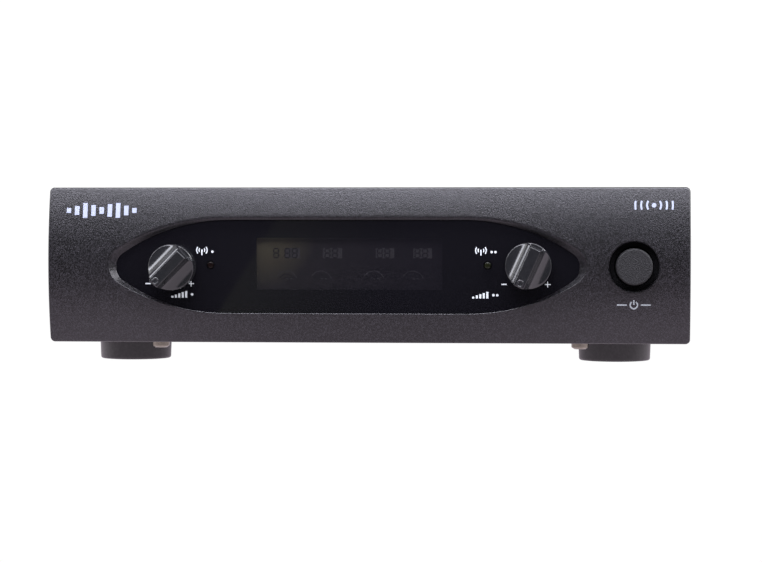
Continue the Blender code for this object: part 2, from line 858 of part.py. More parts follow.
def main_board():
    """The main board on its bosses, with shields, regulator, screws and the ribbon to the display."""
    half = MAIN_BOARD_HALF_WIDTH
    top = MAIN_BOARD_Z + BOARD_THICKNESS
    board = box(
        "main_board",
        (-half, MAIN_BOARD_FRONT, MAIN_BOARD_Z),
        (half, MAIN_BOARD_REAR, top),
        "board_green",
    )
    for i, (x, depth) in enumerate(board_corners(), 1):
        cut(board, pillar(f"board_hole_{i}", x, depth, 0.010, 0.020, 0.0016, steps=TINY_STEPS))
        board_screw(f"main_board_screw_{i}", x, depth, top + GAP)
    for letter, side in (("a", 1), ("b", -1)):
        box(
            f"rf_shield_{letter}",
            (side * SHIELD_X - 0.016, SHIELD_REAR - 0.032, top + GAP),
            (side * SHIELD_X + 0.016, SHIELD_REAR, top + 0.0080),
            "tinned_steel",
            bevel=0.0008,
        )
    left, right, rear = -0.065, -0.055, 0.0525
    regulator = box(
        "voltage_regulator", (left, 0.0480, top + GAP), (right, rear, top + 0.0095), "moulded_black"
    )
    tab = box("regulator_tab", (left, rear - 0.0013, top + 0.0020), (right, rear, top + 0.0160))
    join(regulator, tab)
    ribbon_cable(top)


def board_screw(name, x, depth, seat):
    """A pan-head screw driven down into a boss."""
    screw = turned(
        name,
        [
            (0, 0.0018),
            (0.0018, 0.0016),
            (0.0026, 0.0009),
            (0.0026, 0),
            (0.0011, 0),
            (0.0011, -0.0046),
            (0, -0.0050),
        ],
        "plated_steel",
        steps=SMALL_STEPS,
    )
    screw.location = (x, depth_y(depth), seat)


def ribbon_cable(board_top):
    """A flat cable that rises from the main board and turns forward to the display board."""
    thickness, half_width, middle = 0.0009, 0.0100, 0.010
    front = DISPLAY_BOARD + BOARD_THICKNESS + GAP
    control = [(0.0480, board_top + GAP), (0.0480, 0.030), (0.0400, RIBBON_Z), (front, RIBBON_Z)]
    steps = 12
    line = []
    for i in range(steps + 1):
        t = i / steps
        weights = ((1 - t) ** 3, 3 * t * (1 - t) ** 2, 3 * t * t * (1 - t), t**3)
        line.append(tuple(sum(w * p[k] for w, p in zip(weights, control)) for k in (0, 1)))
    outline = list(line)
    for i in reversed(range(len(line))):
        before, after = line[max(i - 1, 0)], line[min(i + 1, steps)]
        along = Vector((after[0] - before[0], after[1] - before[1])).normalized()
        outline.append((line[i][0] + along.y * thickness, line[i][1] - along.x * thickness))
    cable = prism("ribbon_cable", [(depth_y(d), z) for d, z in outline], half_width, "cable_grey")
    cable.matrix_world = Matrix(((0, 0, 1, middle), (1, 0, 0, 0), (0, 1, 0, 0), (0, 0, 0, 1)))


# ---------------------------------------------------------------- rear sockets


def antenna_socket(letter, side):
    """A bayonet socket through the rear wall, its nut, and the lead to its shielded module."""
    x = side * ANTENNA_X
    barrel = 0.0047
    inside = CHASSIS_SHEET + GAP
    socket = turned(
        f"antenna_socket_{letter}",
        [
            (0, 0.0095),
            (0.0022, 0.0095),
            (0.0022, 0.0040),
            (0.0040, 0.0040),
            (0.0040, ANTENNA_PROUD),
            (barrel, ANTENNA_PROUD),
            (barrel, -inside),
            (0.0068, -inside),
            (0.0068, -inside - 0.0020),
            (0.0040, -inside - 0.0020),
            (0.0040, -inside - 0.0070),
            (0, -inside - 0.0070),
        ],
        "nickel",
        steps=16,
    )
    face_rear(socket, x, CASE_REAR, ANTENNA_Z)
    lugs = pillar(
        f"bayonet_lugs_{letter}",
        x,
        CASE_REAR + ANTENNA_PROUD - 0.0028,
        ANTENNA_Z - 0.0057,
        ANTENNA_Z + 0.0057,
        0.0010,
        steps=TINY_STEPS,
    )
    lug_core = rod(
        f"lug_core_{letter}", x, ANTENNA_Z, CASE_REAR + 0.0060, CASE_REAR + 0.0140, 0.0043, steps=16
    )
    cut(lugs, lug_core)
    join(socket, lugs)
    nut = upright_plate(
        f"antenna_nut_{letter}",
        hexagon(0.0077),
        x,
        CASE_REAR + GAP,
        CASE_REAR + GAP + 0.0024,
        ANTENNA_Z,
        "nickel",
    )
    bore = rod(f"nut_bore_{letter}", x, ANTENNA_Z, CASE_REAR - OVERCUT, CASE_REAR + 0.009, 0.0049)
    cut(nut, bore)
    antenna_lead(letter, side)


def antenna_lead(letter, side):
    """The thin coaxial lead from the socket's rear to the shield can, held at both ends."""
    socket_rear = CASE_REAR - CHASSIS_SHEET - 0.0073
    end_x, end_z = 0.060, 0.0195
    route = [
        (side * ANTENNA_X, socket_rear - GAP, ANTENNA_Z),
        (side * ANTENNA_X, socket_rear - 0.0070, ANTENNA_Z),
        (side * (ANTENNA_X - 0.006), SHIELD_REAR + 0.0180, 0.0300),
        (side * 0.068, SHIELD_REAR + 0.0120, 0.0200),
        (side * end_x, SHIELD_REAR + 0.0060, end_z),
        (side * end_x, SHIELD_REAR + GAP, end_z),
    ]
    curve = bpy.data.curves.new(f"antenna_lead_{letter}", "CURVE")
    curve.dimensions = "3D"
    curve.bevel_depth = 0.0009
    curve.bevel_resolution = 2
    curve.use_fill_caps = True
    points = smooth_line(route, 5)
    spline = curve.splines.new("POLY")
    spline.points.add(len(points) - 1)
    for point, (x, depth, z) in zip(spline.points, points):
        point.co = (x, depth_y(depth), z, 1)
    add_object(f"antenna_lead_{letter}", curve, "moulded_black")


def smooth_line(route, steps):
    """Points on a Catmull-Rom curve through the route."""
    points = []
    last = len(route) - 1
    for i in range(last):
        p0, p1, p2, p3 = (Vector(route[min(max(j, 0), last)]) for j in range(i - 1, i + 3))
        for k in range(steps):
            t = k / steps
            points.append(
                0.5
                * (
                    2 * p1
                    + (p2 - p0) * t
                    + (2 * p0 - 5 * p1 + 4 * p2 - p3) * t**2
                    + (3 * p1 - p0 - 3 * p2 + p3) * t**3
                )
            )
    return points + [Vector(route[-1])]


def xlr_socket(letter, x):
    """A flanged shell with its insulator and three pins, held by two countersunk screws."""
    shell = upright_plate(
        f"xlr_shell_{letter}",
        rounded_rectangle(XLR_HALF_WIDTH, XLR_HALF_HEIGHT, 0.0030, 4),
        x,
        CASE_REAR + THIN_GAP,
        CASE_REAR + XLR_FLANGE,
        SOCKET_Z,
        "nickel",
    )
    barrel_front = CASE_REAR - 0.0180
    flange_rear = CASE_REAR + XLR_FLANGE
    barrel_rear = CASE_REAR + XLR_FLANGE / 2
    join(shell, rod(f"xlr_barrel_{letter}", x, SOCKET_Z, barrel_front, barrel_rear, XLR_BARREL))
    bore_front, bore_rear = barrel_front - OVERCUT, flange_rear + OVERCUT
    cut(shell, rod(f"xlr_bore_{letter}", x, SOCKET_Z, bore_front, bore_rear, XLR_BORE))
    insert = rod(
        f"xlr_insert_{letter}",
        x,
        SOCKET_Z,
        barrel_front - 0.0020,
        barrel_front + 0.0030,
        XLR_BORE - THIN_GAP,
        "moulded_black",
    )
    for i, (dx, dz) in enumerate(XLR_PINS):
        at = (x + dx, SOCKET_Z + dz)
        tip = CASE_REAR - 0.0015
        join(insert, rod(f"xlr_pin_{letter}_{i}", *at, barrel_front, tip, 0.0012, steps=TINY_STEPS))
    for i, (dx, dz) in enumerate(XLR_SCREWS, 1):
        at = (x + dx, SOCKET_Z + dz)
        seat = rod(
            f"xlr_seat_{letter}_{i}",
            *at,
            flange_rear - 0.0017,
            flange_rear + GAP,
            0.0015,
            steps=SMALL_STEPS,
            rear_radius=0.0030,
        )
        clear = rod(
            f"xlr_clear_{letter}_{i}",
            *at,
            CASE_REAR - OVERCUT,
            flange_rear,
            0.0016,
            steps=SMALL_STEPS,
        )
        cut(shell, seat, clear)
        countersunk_screw(f"xlr_screw_{letter}_{i}", *at, flange_rear - THIN_GAP)


def countersunk_screw(name, x, z, top):
    """A screw whose flat head lies level with the flange."""
    screw = turned(
        name,
        [
            (0, -0.0007),
            (0.0008, -0.0007),
            (0.0010, 0),
            (0.0023, 0),
            (0.0012, -0.0013),
            (0.0012, -0.0060),
            (0, -0.0066),
        ],
        "plated_steel",
        steps=SMALL_STEPS,
    )
    face_rear(screw, x, top, z)


def mix_jack():
    """The headphone-size jack, its bushing through the wall, and its round nut."""
    inside = CASE_REAR - CHASSIS_SHEET - GAP
    beyond = CASE_REAR + 0.0080
    body = box(
        "mix_jack",
        (JACK_X - 0.0075, 0.1320, JACK_Z - 0.0085),
        (JACK_X + 0.0075, inside, JACK_Z + 0.0085),
        "moulded_black",
    )
    join(body, rod("jack_bushing", JACK_X, JACK_Z, 0.1520, CASE_REAR + 0.0040, 0.0045))
    cut(body, rod("jack_bore", JACK_X, JACK_Z, 0.1345, beyond, 0.00325))
    nut_front, nut_rear = CASE_REAR + GAP, CASE_REAR + 0.0025
    nut = rod("mix_jack_nut", JACK_X, JACK_Z, nut_front, nut_rear, 0.0066, "nickel")
    cut(nut, rod("jack_nut_bore", JACK_X, JACK_Z, CASE_REAR - OVERCUT, beyond, 0.0047))


def dc_inlet():
    """The low-voltage inlet: a square body and a round mouth with a centre pin."""
    inside = CASE_REAR - CHASSIS_SHEET - GAP
    body = box(
        "dc_inlet",
        (DC_X - 0.0047, 0.1440, DC_Z - 0.0055),
        (DC_X + 0.0047, inside, DC_Z + 0.0055),
        "moulded_black",
    )
    join(body, rod("dc_mouth", DC_X, DC_Z, 0.1520, CASE_REAR + 0.0010, 0.0040))
    cut(body, rod("dc_bore", DC_X, DC_Z, 0.1480, CASE_REAR + 0.0080, 0.0030))
    pin_rear = CASE_REAR - 0.0005
    join(body, rod("dc_pin", DC_X, DC_Z, 0.1470, pin_rear, 0.00105, steps=TINY_STEPS))


def shade_round_pieces():
    for obj in parts.objects:
        if obj.type == "MESH":
            obj.data.shade_smooth()
            obj.data.set_sharp_from_angle(angle=math.radians(35))


def build_receiver():
    front_panel()
    display_window()
    for letter in "ab":
        x, z = KNOB_X[letter], KNOB_Z[letter]
        volume_knob(f"volume_knob_{letter}", x, z, KNOB_POINTER[letter])
        potentiometer(letter, x, z)
        signal_led(f"signal_led_{letter}", LED_X[letter])
    power_control()
    base_chassis()
    top_cover()
    fasteners_and_feet()
    display_stack()
    main_board()
    antenna_socket("a", 1)
    antenna_socket("b", -1)
    xlr_socket("a", XLR_A_X)
    xlr_socket("b", XLR_B_X)
    mix_jack()
    dc_inlet()
    shade_round_pieces()


clear_scene()
parts = make_collection("wireless_receiver")
cutters = make_collection("cutters")
build_receiver()
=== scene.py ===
"""Looks of the half-rack wireless receiver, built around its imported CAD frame."""

import json
from math import atan2, cos, hypot, pi, radians, sin, sqrt, tan

import bmesh
import bpy
from mathutils import Matrix, Vector


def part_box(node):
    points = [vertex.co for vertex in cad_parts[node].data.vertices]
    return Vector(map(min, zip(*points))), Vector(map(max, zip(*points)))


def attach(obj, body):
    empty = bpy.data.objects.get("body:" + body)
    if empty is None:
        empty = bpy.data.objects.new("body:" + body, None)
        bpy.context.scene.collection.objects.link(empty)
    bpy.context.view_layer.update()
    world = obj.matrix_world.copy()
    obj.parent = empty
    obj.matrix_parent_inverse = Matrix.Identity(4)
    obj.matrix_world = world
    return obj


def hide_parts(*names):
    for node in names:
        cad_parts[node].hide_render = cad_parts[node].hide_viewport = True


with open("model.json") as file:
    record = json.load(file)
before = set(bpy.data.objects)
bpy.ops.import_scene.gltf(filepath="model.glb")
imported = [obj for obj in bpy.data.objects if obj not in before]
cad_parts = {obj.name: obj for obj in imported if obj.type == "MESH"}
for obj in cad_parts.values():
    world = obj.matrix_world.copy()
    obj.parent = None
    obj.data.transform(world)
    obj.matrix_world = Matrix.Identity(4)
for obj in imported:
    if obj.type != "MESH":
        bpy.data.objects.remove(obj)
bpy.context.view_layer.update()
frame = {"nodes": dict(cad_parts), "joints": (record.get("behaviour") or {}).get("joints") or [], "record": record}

MM = 0.001
JOINT_POS = {joint["child"]: joint.get("pos_m") for joint in frame["joints"]}
CASE = "receiver_case"
SCENE = bpy.context.scene

# Places read from the frame
PANEL_LOW, PANEL_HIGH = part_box("front_panel")
CREST = PANEL_LOW.y
PANEL_HALF_WIDTH = (PANEL_HIGH.x - PANEL_LOW.x) / 2
PANEL_HALF_HEIGHT = (PANEL_HIGH.z - PANEL_LOW.z) / 2
MID_Z = (PANEL_HIGH.z + PANEL_LOW.z) / 2
WINDOW_LOW, WINDOW_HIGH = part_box("display_window")
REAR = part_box("base_chassis")[1].y
SHEET = 1.5 * MM

# Fascia, as in the CAD: depths are measured from the crest of its bow
BOW = 3.6 * MM
BOW_RADIUS = (PANEL_HALF_HEIGHT**2 + BOW**2) / (2 * BOW)
RIM_DEPTH = 8.0 * MM
WALL = 2.6 * MM
CORNER_RADIUS = 1.5 * MM
RIM_FILLET = 0.55 * MM
OPENING_X = -6.7 * MM
OPENING_DROP = 0.25 * MM
OPENING_HALF_LENGTH = 76.7 * MM
OPENING_HALF_HEIGHT = 15.15 * MM
OPENING_TIP_RADIUS = 4.9 * MM
OPENING_FLANK_RADIUS = 62.0 * MM
OPENING_DRAFT = 1.1
WALL_FOOT_DROP = 0.8 * MM
BUTTON_HOLE_RADIUS = 8.1 * MM
BUTTON_HOLE_FILLET = 0.45 * MM
STRIP_HEIGHT = 1.0 * MM

# The opening's rounded lip: (reach, drop) pairs from the face to the wall, as shares of its softness
LIP_FILLET = 0.17 * MM
LIP = ((1.0, 0.0), (0.45, 0.035), (-0.05, 0.175), (-0.42, 0.40), (-0.70, 0.65))

# Window, with the black print on its back
WINDOW_DEPTH = 2.0 * MM
WINDOW_OVERLAP = 1.3 * MM
SHAFT_HOLE_RADIUS = 3.6 * MM
LED_HOLE_RADIUS = 1.4 * MM
DISPLAY_VIEW = (30.9 * MM, 8.6 * MM)
MASK = 0.05 * MM
INK = 0.03 * MM

# Knobs, as in the CAD
KNOB_RADIUS = 7.55 * MM
KNOB_HEIGHT = 10.7 * MM
KNOB_FLOOR = 5.7 * MM
KNOB_BAR_HALF_WIDTH = 1.8 * MM
KNOB_SCOOP_RADIUS = 4.5 * MM
KNOB_SCOOP_END = 6.7 * MM
KNOB_TAIL = 6.1 * MM
KNOB_EDGE = 0.35 * MM
KNOB_GRIP_EDGE = 0.25 * MM
KNOB_SKIRT = 1.2 * MM
KNOB_RIBS = 36
KNOB_GROOVE = 0.983
KNOB_POINTER = {"a": radians(225.7), "b": radians(245.6)}

# Finer than the CAD, in mm: the ledge beside the grip as (out, down) pairs, and the bead's (growth, height)
KNOB_LEDGE = ((0.35, 2.2), (0.45, 2.3), (0.75, 2.5))
KNOB_BEAD = ((0.26, -0.02), (0.14, 0.07), (0.0, 0.10), (-0.14, 0.07), (-0.26, -0.02))
KNOB_BEAD_X = 6.2 * MM

# Camera of the product view
CAMERA_X = 67.0 * MM
CAMERA_DISTANCE = 774.8 * MM
CAMERA_RISE = 17.9 * MM
CAMERA_PITCH = radians(1.696)
CAMERA_YAW = radians(4.5775)
CAMERA_LENS = 111.87

# Stage brightness, where 1 is the white of the picture; a fade is two (X, strength) stops
SURROUND_FRONT = 0.02
SURROUND_BACK = 0.9
SURROUND_WHITE = 1.1
FLOOR_GLOW = 1.02
BOUNCE_FADE = ((0.02, 0.87), (0.09, 1.17))
BOUNCE_COLOUR = (1.0, 0.88, 1.0)
FAR_CARD = ((-0.236, -0.08), (-0.06, -0.08), (-0.06, 0.09), (-0.128, 0.09))
FAR_CARD_Y = -1.10
FAR_CARD_FADE = ((-0.20, 0.2), (-0.08, 0.02))
FAR_CARD_COLOUR = (0.95, 1.0, 0.66)

# Soft lights: name, place, target, size, radiance and colour
WHITE = (1, 1, 1)
COOL = (0.97, 0.985, 1.08)
LIGHTS = (
    ("key", (0.0, -0.52, 0.62), (0, -0.30, 0), (3.3, 0.36), 8.6, COOL),
    ("key_core", (-0.06, -0.52, 0.61), (-0.06, -0.30, 0), (0.26, 0.36), 9.0, COOL),
    ("back", (0.2, 1.20, 0.70), (0, 0.05, 0.03), (1.6, 0.8), 2.0, WHITE),
    ("right", (1.04, -0.29, 0.80), (-0.08, -0.08, 0.03), (0.45, 0.45), 15.0, WHITE),
    ("side_left", (-1.3, 0.15, 0.45), (0, 0.1, 0), (1.2, 0.8), 1.6, WHITE),
    ("side_right", (1.3, 0.15, 0.45), (0, 0.1, 0), (1.2, 0.8), 1.2, WHITE),
)

# Finishes by name. Most names are slots of the CAD
MATERIALS = {}

# Plastics and paints: dark and light colour, roughness, grains per metre, their depth in mm, specular level
BLACK = (0.012, 0.012, 0.013)
MOULDED = {
    "steel_black": (BLACK, (0.034, 0.034, 0.037), 0.50, 1500, 0.03, 0.5),
    "knob_black": ((0.011, 0.011, 0.013), (0.014, 0.014, 0.016), 0.17, 900, 0.001, 0.7),
    "button_black": ((0.002, 0.0018, 0.0024), (0.02, 0.019, 0.022), 0.6, 2600, 0.2, 0.32),
    "foot_black": ((0.02, 0.0175, 0.02), (0.029, 0.0255, 0.029), 0.42, 1200, 0.008, 0.5),
    "board_green": ((0.01, 0.08, 0.035), (0.02, 0.13, 0.06), 0.5, 300, 0.01, 0.5),
    "display_holder": (BLACK, (0.02, 0.02, 0.02), 0.6, 1500, 0.01, 0.5),
    "backlight_white": ((0.7, 0.7, 0.66), (0.76, 0.76, 0.72), 0.5, 500, 0.005, 0.5),
    "led_red": ((0.004, 0.002, 0.002), (0.007, 0.004, 0.004), 0.15, 800, 0.001, 0.2),
    "led_clear": ((0.006, 0.0065, 0.003), (0.01, 0.011, 0.005), 0.12, 800, 0.001, 0.4),
    "moulded_black": ((0.006, 0.006, 0.007), (0.012, 0.012, 0.014), 0.5, 1800, 0.01, 0.35),
    # collar: far darker than the other black plastics, as painted shade down in the button's hole
    "collar": ((0.002, 0.002, 0.0026), (0.004, 0.004, 0.005), 0.55, 1800, 0.01, 0.12),
    "cable_grey": ((0.28, 0.28, 0.29), (0.36, 0.36, 0.37), 0.55, 700, 0.01, 0.5),
    "mask": ((0.004, 0.004, 0.005), (0.006, 0.006, 0.007), 0.6, 2000, 0.002, 0.5),
}

# Metals: colour, roughness, grains per metre and their depth in mm
METALS = {
    "plated_steel": ((0.25, 0.23, 0.19), 0.30, 700, 0.03),
    "nickel": ((0.66, 0.64, 0.60), 0.24, 900, 0.004),
    "tinned_steel": ((0.58, 0.58, 0.57), 0.38, 900, 0.004),
    "gold": ((0.83, 0.62, 0.30), 0.22, 900, 0.004),
}

INKS = {
    "silver_ink": (0.325, 0.35, 0.465),
    "grey_ink": (0.27, 0.28, 0.31),
    "white_ink": (0.60, 0.62, 0.66),
    "segment_ink": (0.15, 0.14, 0.16),
    "block_ink": (0.46, 0.42, 0.47),
}

# The unlit display's colours at shares of the reach on the next line from its upper left corner: the cell's own
# violet grey, with a painted reflection in bright olive at the corner that fades into it
REFLECTION_REACH = 60 * MM
CELL_TINTS_AND_REFLECTION = (
    (0.0, (0.90, 0.78, 0.50)),
    (0.14, (0.66, 0.57, 0.38)),
    (0.32, (0.19, 0.165, 0.19)),
    (1.0, (0.11, 0.095, 0.12)),
)


# ---- camera, stage and light


def add_camera():
    data = bpy.data.cameras.new("camera")
    data.lens = CAMERA_LENS
    data.sensor_width = 36.0
    data.clip_start = 0.01
    camera = bpy.data.objects.new("camera", data)
    camera.location = (CAMERA_X, CREST - CAMERA_DISTANCE, MID_Z + CAMERA_RISE)
    camera.rotation_euler = (pi / 2 - CAMERA_PITCH, 0, CAMERA_YAW)
    SCENE.collection.objects.link(camera)
    SCENE.camera = camera


def area_light(name, place, target, size, radiance, colour):
    """A rectangular soft light, invisible to the camera, whose face has a given radiance."""
    data = bpy.data.lights.new(name, "AREA")
    data.color = colour
    data.shape = "RECTANGLE"
    data.size, data.size_y = size
    data.energy = radiance * pi * size[0] * size[1]
    light = bpy.data.objects.new(name, data)
    light.location = place
    aim = Vector(target) - Vector(place)
    light.rotation_euler = aim.to_track_quat("-Z", "Y").to_euler()
    light.visible_camera = False
    SCENE.collection.objects.link(light)


def stage_plane(name, size, centre, material):
    bm = bmesh.new()
    bmesh.ops.create_grid(bm, x_segments=1, y_segments=1, size=0.5)
    bm.transform(Matrix.Diagonal((*size, 1.0, 1.0)))
    plane = new_object(name, bm, material)
    plane.location = centre
    return plane


def add_surround():
    """White for the camera; for light and gloss, bright behind the object and dark in front of it."""
    SCENE.view_settings.view_transform = "Standard"
    world = bpy.data.worlds.new("surround")
    SCENE.world = world
    world.use_nodes = True
    tree = world.node_tree
    direction = tree.nodes.new("ShaderNodeTexCoord").outputs["Generated"]
    depth = add_node(tree, "SeparateXYZ", {"Vector": direction}).outputs["Y"]
    lit = remap(tree, depth, SURROUND_FRONT, SURROUND_BACK, -0.5, 0.3)
    camera_ray = tree.nodes.new("ShaderNodeLightPath").outputs["Is Camera Ray"]
    mix = add_node(tree, "Mix", {"Factor": camera_ray, "A": lit, "B": SURROUND_WHITE})
    feed(tree, tree.nodes["Background"], {"Color": (1, 1, 1, 1), "Strength": mix.outputs["Result"]})


def gloss_card(card):
    """Leaves a lit card to reflections alone."""
    card.visible_camera = False
    card.visible_diffuse = False
    card.visible_shadow = False


def fading_glow(name, colour, fade, mirrored=False):
    """A glow whose strength runs between two (X, strength) stops, the same on both sides if mirrored."""
    material, tree, shader, coords = node_material(name)
    place = add_node(tree, "SeparateXYZ", {"Vector": coords}).outputs["X"]
    if mirrored:
        size = add_node(tree, "Math", {0: place})
        size.operation = "ABSOLUTE"
        place = size.outputs[0]
    (start, low), (end, high) = fade
    strength = remap(tree, place, low, high, start, end)
    glow = add_node(tree, "Emission", {"Color": (*colour, 1), "Strength": strength})
    feed(tree, tree.nodes["Material Output"], {"Surface": glow.outputs[0]})
    tree.nodes.remove(shader)
    return material


def add_window_reflection():
    """A dim olive card far in front, with a slanting edge, that the window mirrors by the display."""
    bm = bmesh.new()
    bm.faces.new([bm.verts.new((x, FAR_CARD_Y, z)) for x, z in FAR_CARD])
    card = new_object("far_card", bm, fading_glow("far_paper", FAR_CARD_COLOUR, FAR_CARD_FADE))
    gloss_card(card)


def add_stage():
    """A pale floor, a card below the object for its reflections, and soft lights round it."""
    floor = stage_plane("floor", (8.0, 8.0), (0, 0, 0), floor_material())
    floor.visible_glossy = False
    table = fading_glow("bounce_paper", BOUNCE_COLOUR, BOUNCE_FADE, mirrored=True)
    gloss_card(stage_plane("bounce", (1.0, 0.70), (0, 0.18, -0.001), table))
    add_window_reflection()
    for light in LIGHTS:
        area_light(*light)


# ---- materials


def node_material(name):
    """A new material with its node tree, Principled shader and object coordinates."""
    material = bpy.data.materials.new(name)
    material.use_nodes = True
    tree = material.node_tree
    coords = tree.nodes.new("ShaderNodeTexCoord")
    return material, tree, tree.nodes["Principled BSDF"], coords.outputs["Object"]


def feed(tree, node, sockets):
    """Sets a node's inputs, or links them where another node's output is given."""
    for name, value in sockets.items():
        if isinstance(value, bpy.types.NodeSocket):
            tree.links.new(value, node.inputs[name])
        else:
            node.inputs[name].default_value = value


def add_node(tree, kind, sockets):
    node = tree.nodes.new(f"ShaderNode{kind}")
    feed(tree, node, sockets)
    return node


def noise(tree, coords, scale, detail=3.0, roughness=0.5):
    sockets = {"Vector": coords, "Scale": scale, "Detail": detail, "Roughness": roughness}
    return add_node(tree, "TexNoise", sockets).outputs["Fac"]


def bump(tree, height, distance):
    sockets = {"Height": height, "Distance": distance, "Strength": 1.0}
    return add_node(tree, "Bump", sockets).outputs["Normal"]


def ramp(tree, factor, *stops):
    """A colour ramp of a factor, through (position, colour) stops."""
    node = add_node(tree, "ValToRGB", {"Fac": factor})
    elements = node.color_ramp.elements
    while len(elements) < len(stops):
        elements.new(0.5)
    for element, (position, colour) in zip(elements, stops):
        element.position = position
        element.color = (*colour, 1)
    return node.outputs["Color"]


def remap(tree, factor, low, high, start=0.0, end=1.0):
    sockets = {"Value": factor, "From Min": start, "From Max": end, "To Min": low, "To Max": high}
    return add_node(tree, "MapRange", sockets).outputs["Result"]


def dimmed(colour, share):
    return tuple(channel * share for channel in colour)


def moulded(name, dark, light, roughness, grain, depth, specular):
    """Plastic or paint: mottled colour, varied roughness and a fine grain."""
    material, tree, shader, coords = node_material(name)
    fine = noise(tree, coords, grain, 2)
    broad = noise(tree, coords, grain / 40)
    spread = 0.02
    feed(tree, shader, {
        "Base Color": ramp(tree, fine, (0.35, dark), (0.7, light)),
        "Roughness": remap(tree, broad, roughness - spread, roughness + spread, 0.3, 0.7),
        "Specular IOR Level": specular,
        "Normal": bump(tree, fine, depth * MM),
    })
    return material


def metal(name, colour, roughness, grain, depth):
    """Bare or plated metal with varied roughness and a fine grain."""
    material, tree, shader, coords = node_material(name)
    fine = noise(tree, coords, grain, 4)
    feed(tree, shader, {
        "Base Color": ramp(tree, fine, (0.3, dimmed(colour, 0.82)), (0.6, colour)),
        "Roughness": remap(tree, fine, roughness * 0.75, roughness * 1.3),
        "Metallic": 1.0,
        "Normal": bump(tree, fine, depth * MM),
    })
    return material


def floor_material():
    """Evenly lit paper, slightly mottled."""
    material, tree, shader, coords = node_material("floor_paper")
    feed(tree, shader, {
        "Emission Color": ramp(tree, noise(tree, coords, 40), (0, dimmed(WHITE, 0.985)), (1, WHITE)),
        "Base Color": (0, 0, 0, 1),
        "Specular IOR Level": 0.0,
        "Emission Strength": FLOOR_GLOW,
    })
    return material


def fascia_material():
    """Grey paint with fine metal flakes over a pebbled grain."""
    material, tree, shader, coords = node_material("fascia_paint")
    grain = noise(tree, coords, 3200, 2, 0.6)
    flakes = add_node(tree, "TexVoronoi", {"Scale": 3300, "Vector": coords}).outputs["Color"]
    feed(tree, shader, {
        "Base Color": ramp(tree, flakes, (0.4, (0.001, 0.0009, 0.0011)), (0.95, (0.022, 0.0198, 0.0245))),
        "Roughness": remap(tree, flakes, 0.29, 0.37),
        "Specular IOR Level": 0.6,
        "Specular Tint": (0.98, 0.96, 1.0, 1),
        "Normal": bump(tree, grain, 0.10 * MM),
    })
    return material


def window_material():
    """Smoked clear plate: mostly opaque, faintly violet, with a polished surface."""
    material, tree, shader, coords = node_material("smoked_window")
    haze = noise(tree, coords, 30)
    feed(tree, shader, {
        "Base Color": ramp(tree, haze, (0, (0.0048, 0.0045, 0.0066)), (1, (0.0060, 0.0055, 0.0080))),
        "Roughness": remap(tree, haze, 0.015, 0.035),
        "Alpha": 0.60,
    })
    return material


def display_material():
    """The unlit display cell: a painted reflection, olive near its upper left corner, that fades into the cell's
    own violet grey.
    """
    material, tree, shader, coords = node_material("display_cell")
    low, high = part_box("lcd_glass")
    corner = add_node(tree, "VectorMath", {0: coords, 1: (low.x + 3 * MM, low.y, high.z)})
    corner.operation = "DISTANCE"
    reach = remap(tree, corner.outputs["Value"], 0.0, 1.0, 0.0, REFLECTION_REACH)
    roughness = remap(tree, noise(tree, coords, 260, 4), 0.25, 0.5)
    feed(tree, shader, {"Base Color": ramp(tree, reach, *CELL_TINTS_AND_REFLECTION), "Roughness": roughness})
    return material


def ink_material(name, colour):
    material, tree, shader, coords = node_material(name)
    tint = ramp(tree, noise(tree, coords, 2500, 2), (0.25, dimmed(colour, 0.80)), (0.55, colour))
    feed(tree, shader, {"Base Color": tint, "Roughness": 0.55})
    return material


def make_materials():
    """Every finish, by its name."""
    MATERIALS["fascia_grey"] = fascia_material()
    MATERIALS["window_black"] = window_material()
    MATERIALS["display_glass"] = display_material()
    for name, values in MOULDED.items():
        MATERIALS[name] = moulded(f"{name}_finish", *values)
    for name, values in METALS.items():
        MATERIALS[name] = metal(f"{name}_finish", *values)
    for name, colour in INKS.items():
        MATERIALS[name] = ink_material(name, colour)


# ---- mesh helpers


def middle(node):
    """(X, Z) of the middle of a CAD node."""
    low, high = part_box(node)
    return (low.x + high.x) / 2, (low.z + high.z) / 2


def half_width(node):
    low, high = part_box(node)
    return (high.x - low.x) / 2


def new_object(name, bm, material):
    mesh = bpy.data.meshes.new(name)
    bm.to_mesh(mesh)
    bm.free()
    obj = bpy.data.objects.new(name, mesh)
    SCENE.collection.objects.link(obj)
    mesh.materials.append(material)
    return obj


def piece(obj, body, node=None):
    """Makes obj part of the model: it rides on body, in place of the node, which it hides."""
    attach(obj, body)
    if node:
        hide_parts(node)


def shade(obj, angle=35.0):
    """Smooth shading with sharp edges past an angle, weighted by face area."""
    obj.data.shade_smooth()
    obj.data.set_sharp_from_angle(angle=radians(angle))
    weighted = obj.modifiers.new("weighted", "WEIGHTED_NORMAL")
    weighted.keep_sharp = True
    return obj


def soften(obj, width, segments=2, angle=30.0):
    """Rounds the edges of a hard-edged mesh, then shades it."""
    bevel = obj.modifiers.new("soft_edges", "BEVEL")
    bevel.width = width
    bevel.segments = segments
    bevel.limit_method = "ANGLE"
    bevel.angle_limit = radians(angle)
    bevel.use_clamp_overlap = True
    return shade(obj)


def part(name, bm, place, finish, node=None, body=CASE, angle=35.0):
    """Makes a piece of a mesh: turns it into place, fixes its normals and shades it."""
    bm.transform(place)
    bmesh.ops.recalc_face_normals(bm, faces=bm.faces[:])
    piece(shade(new_object(name, bm, MATERIALS[finish]), angle), body, node)


def arc(centre, radius, start, end, steps):
    """Points on an arc, both ends included."""
    angles = [start + (end - start) * i / steps for i in range(steps + 1)]
    return [(centre[0] + radius * cos(a), centre[1] + radius * sin(a)) for a in angles]


def rounded_rectangle(half_width, half_height, radius, steps=8):
    points = []
    for turn, (sx, sy) in enumerate(((1, 1), (-1, 1), (-1, -1), (1, -1))):
        centre = (sx * (half_width - radius), sy * (half_height - radius))
        start = turn * pi / 2
        points += arc(centre, radius, start, start + pi / 2, steps)
    return points


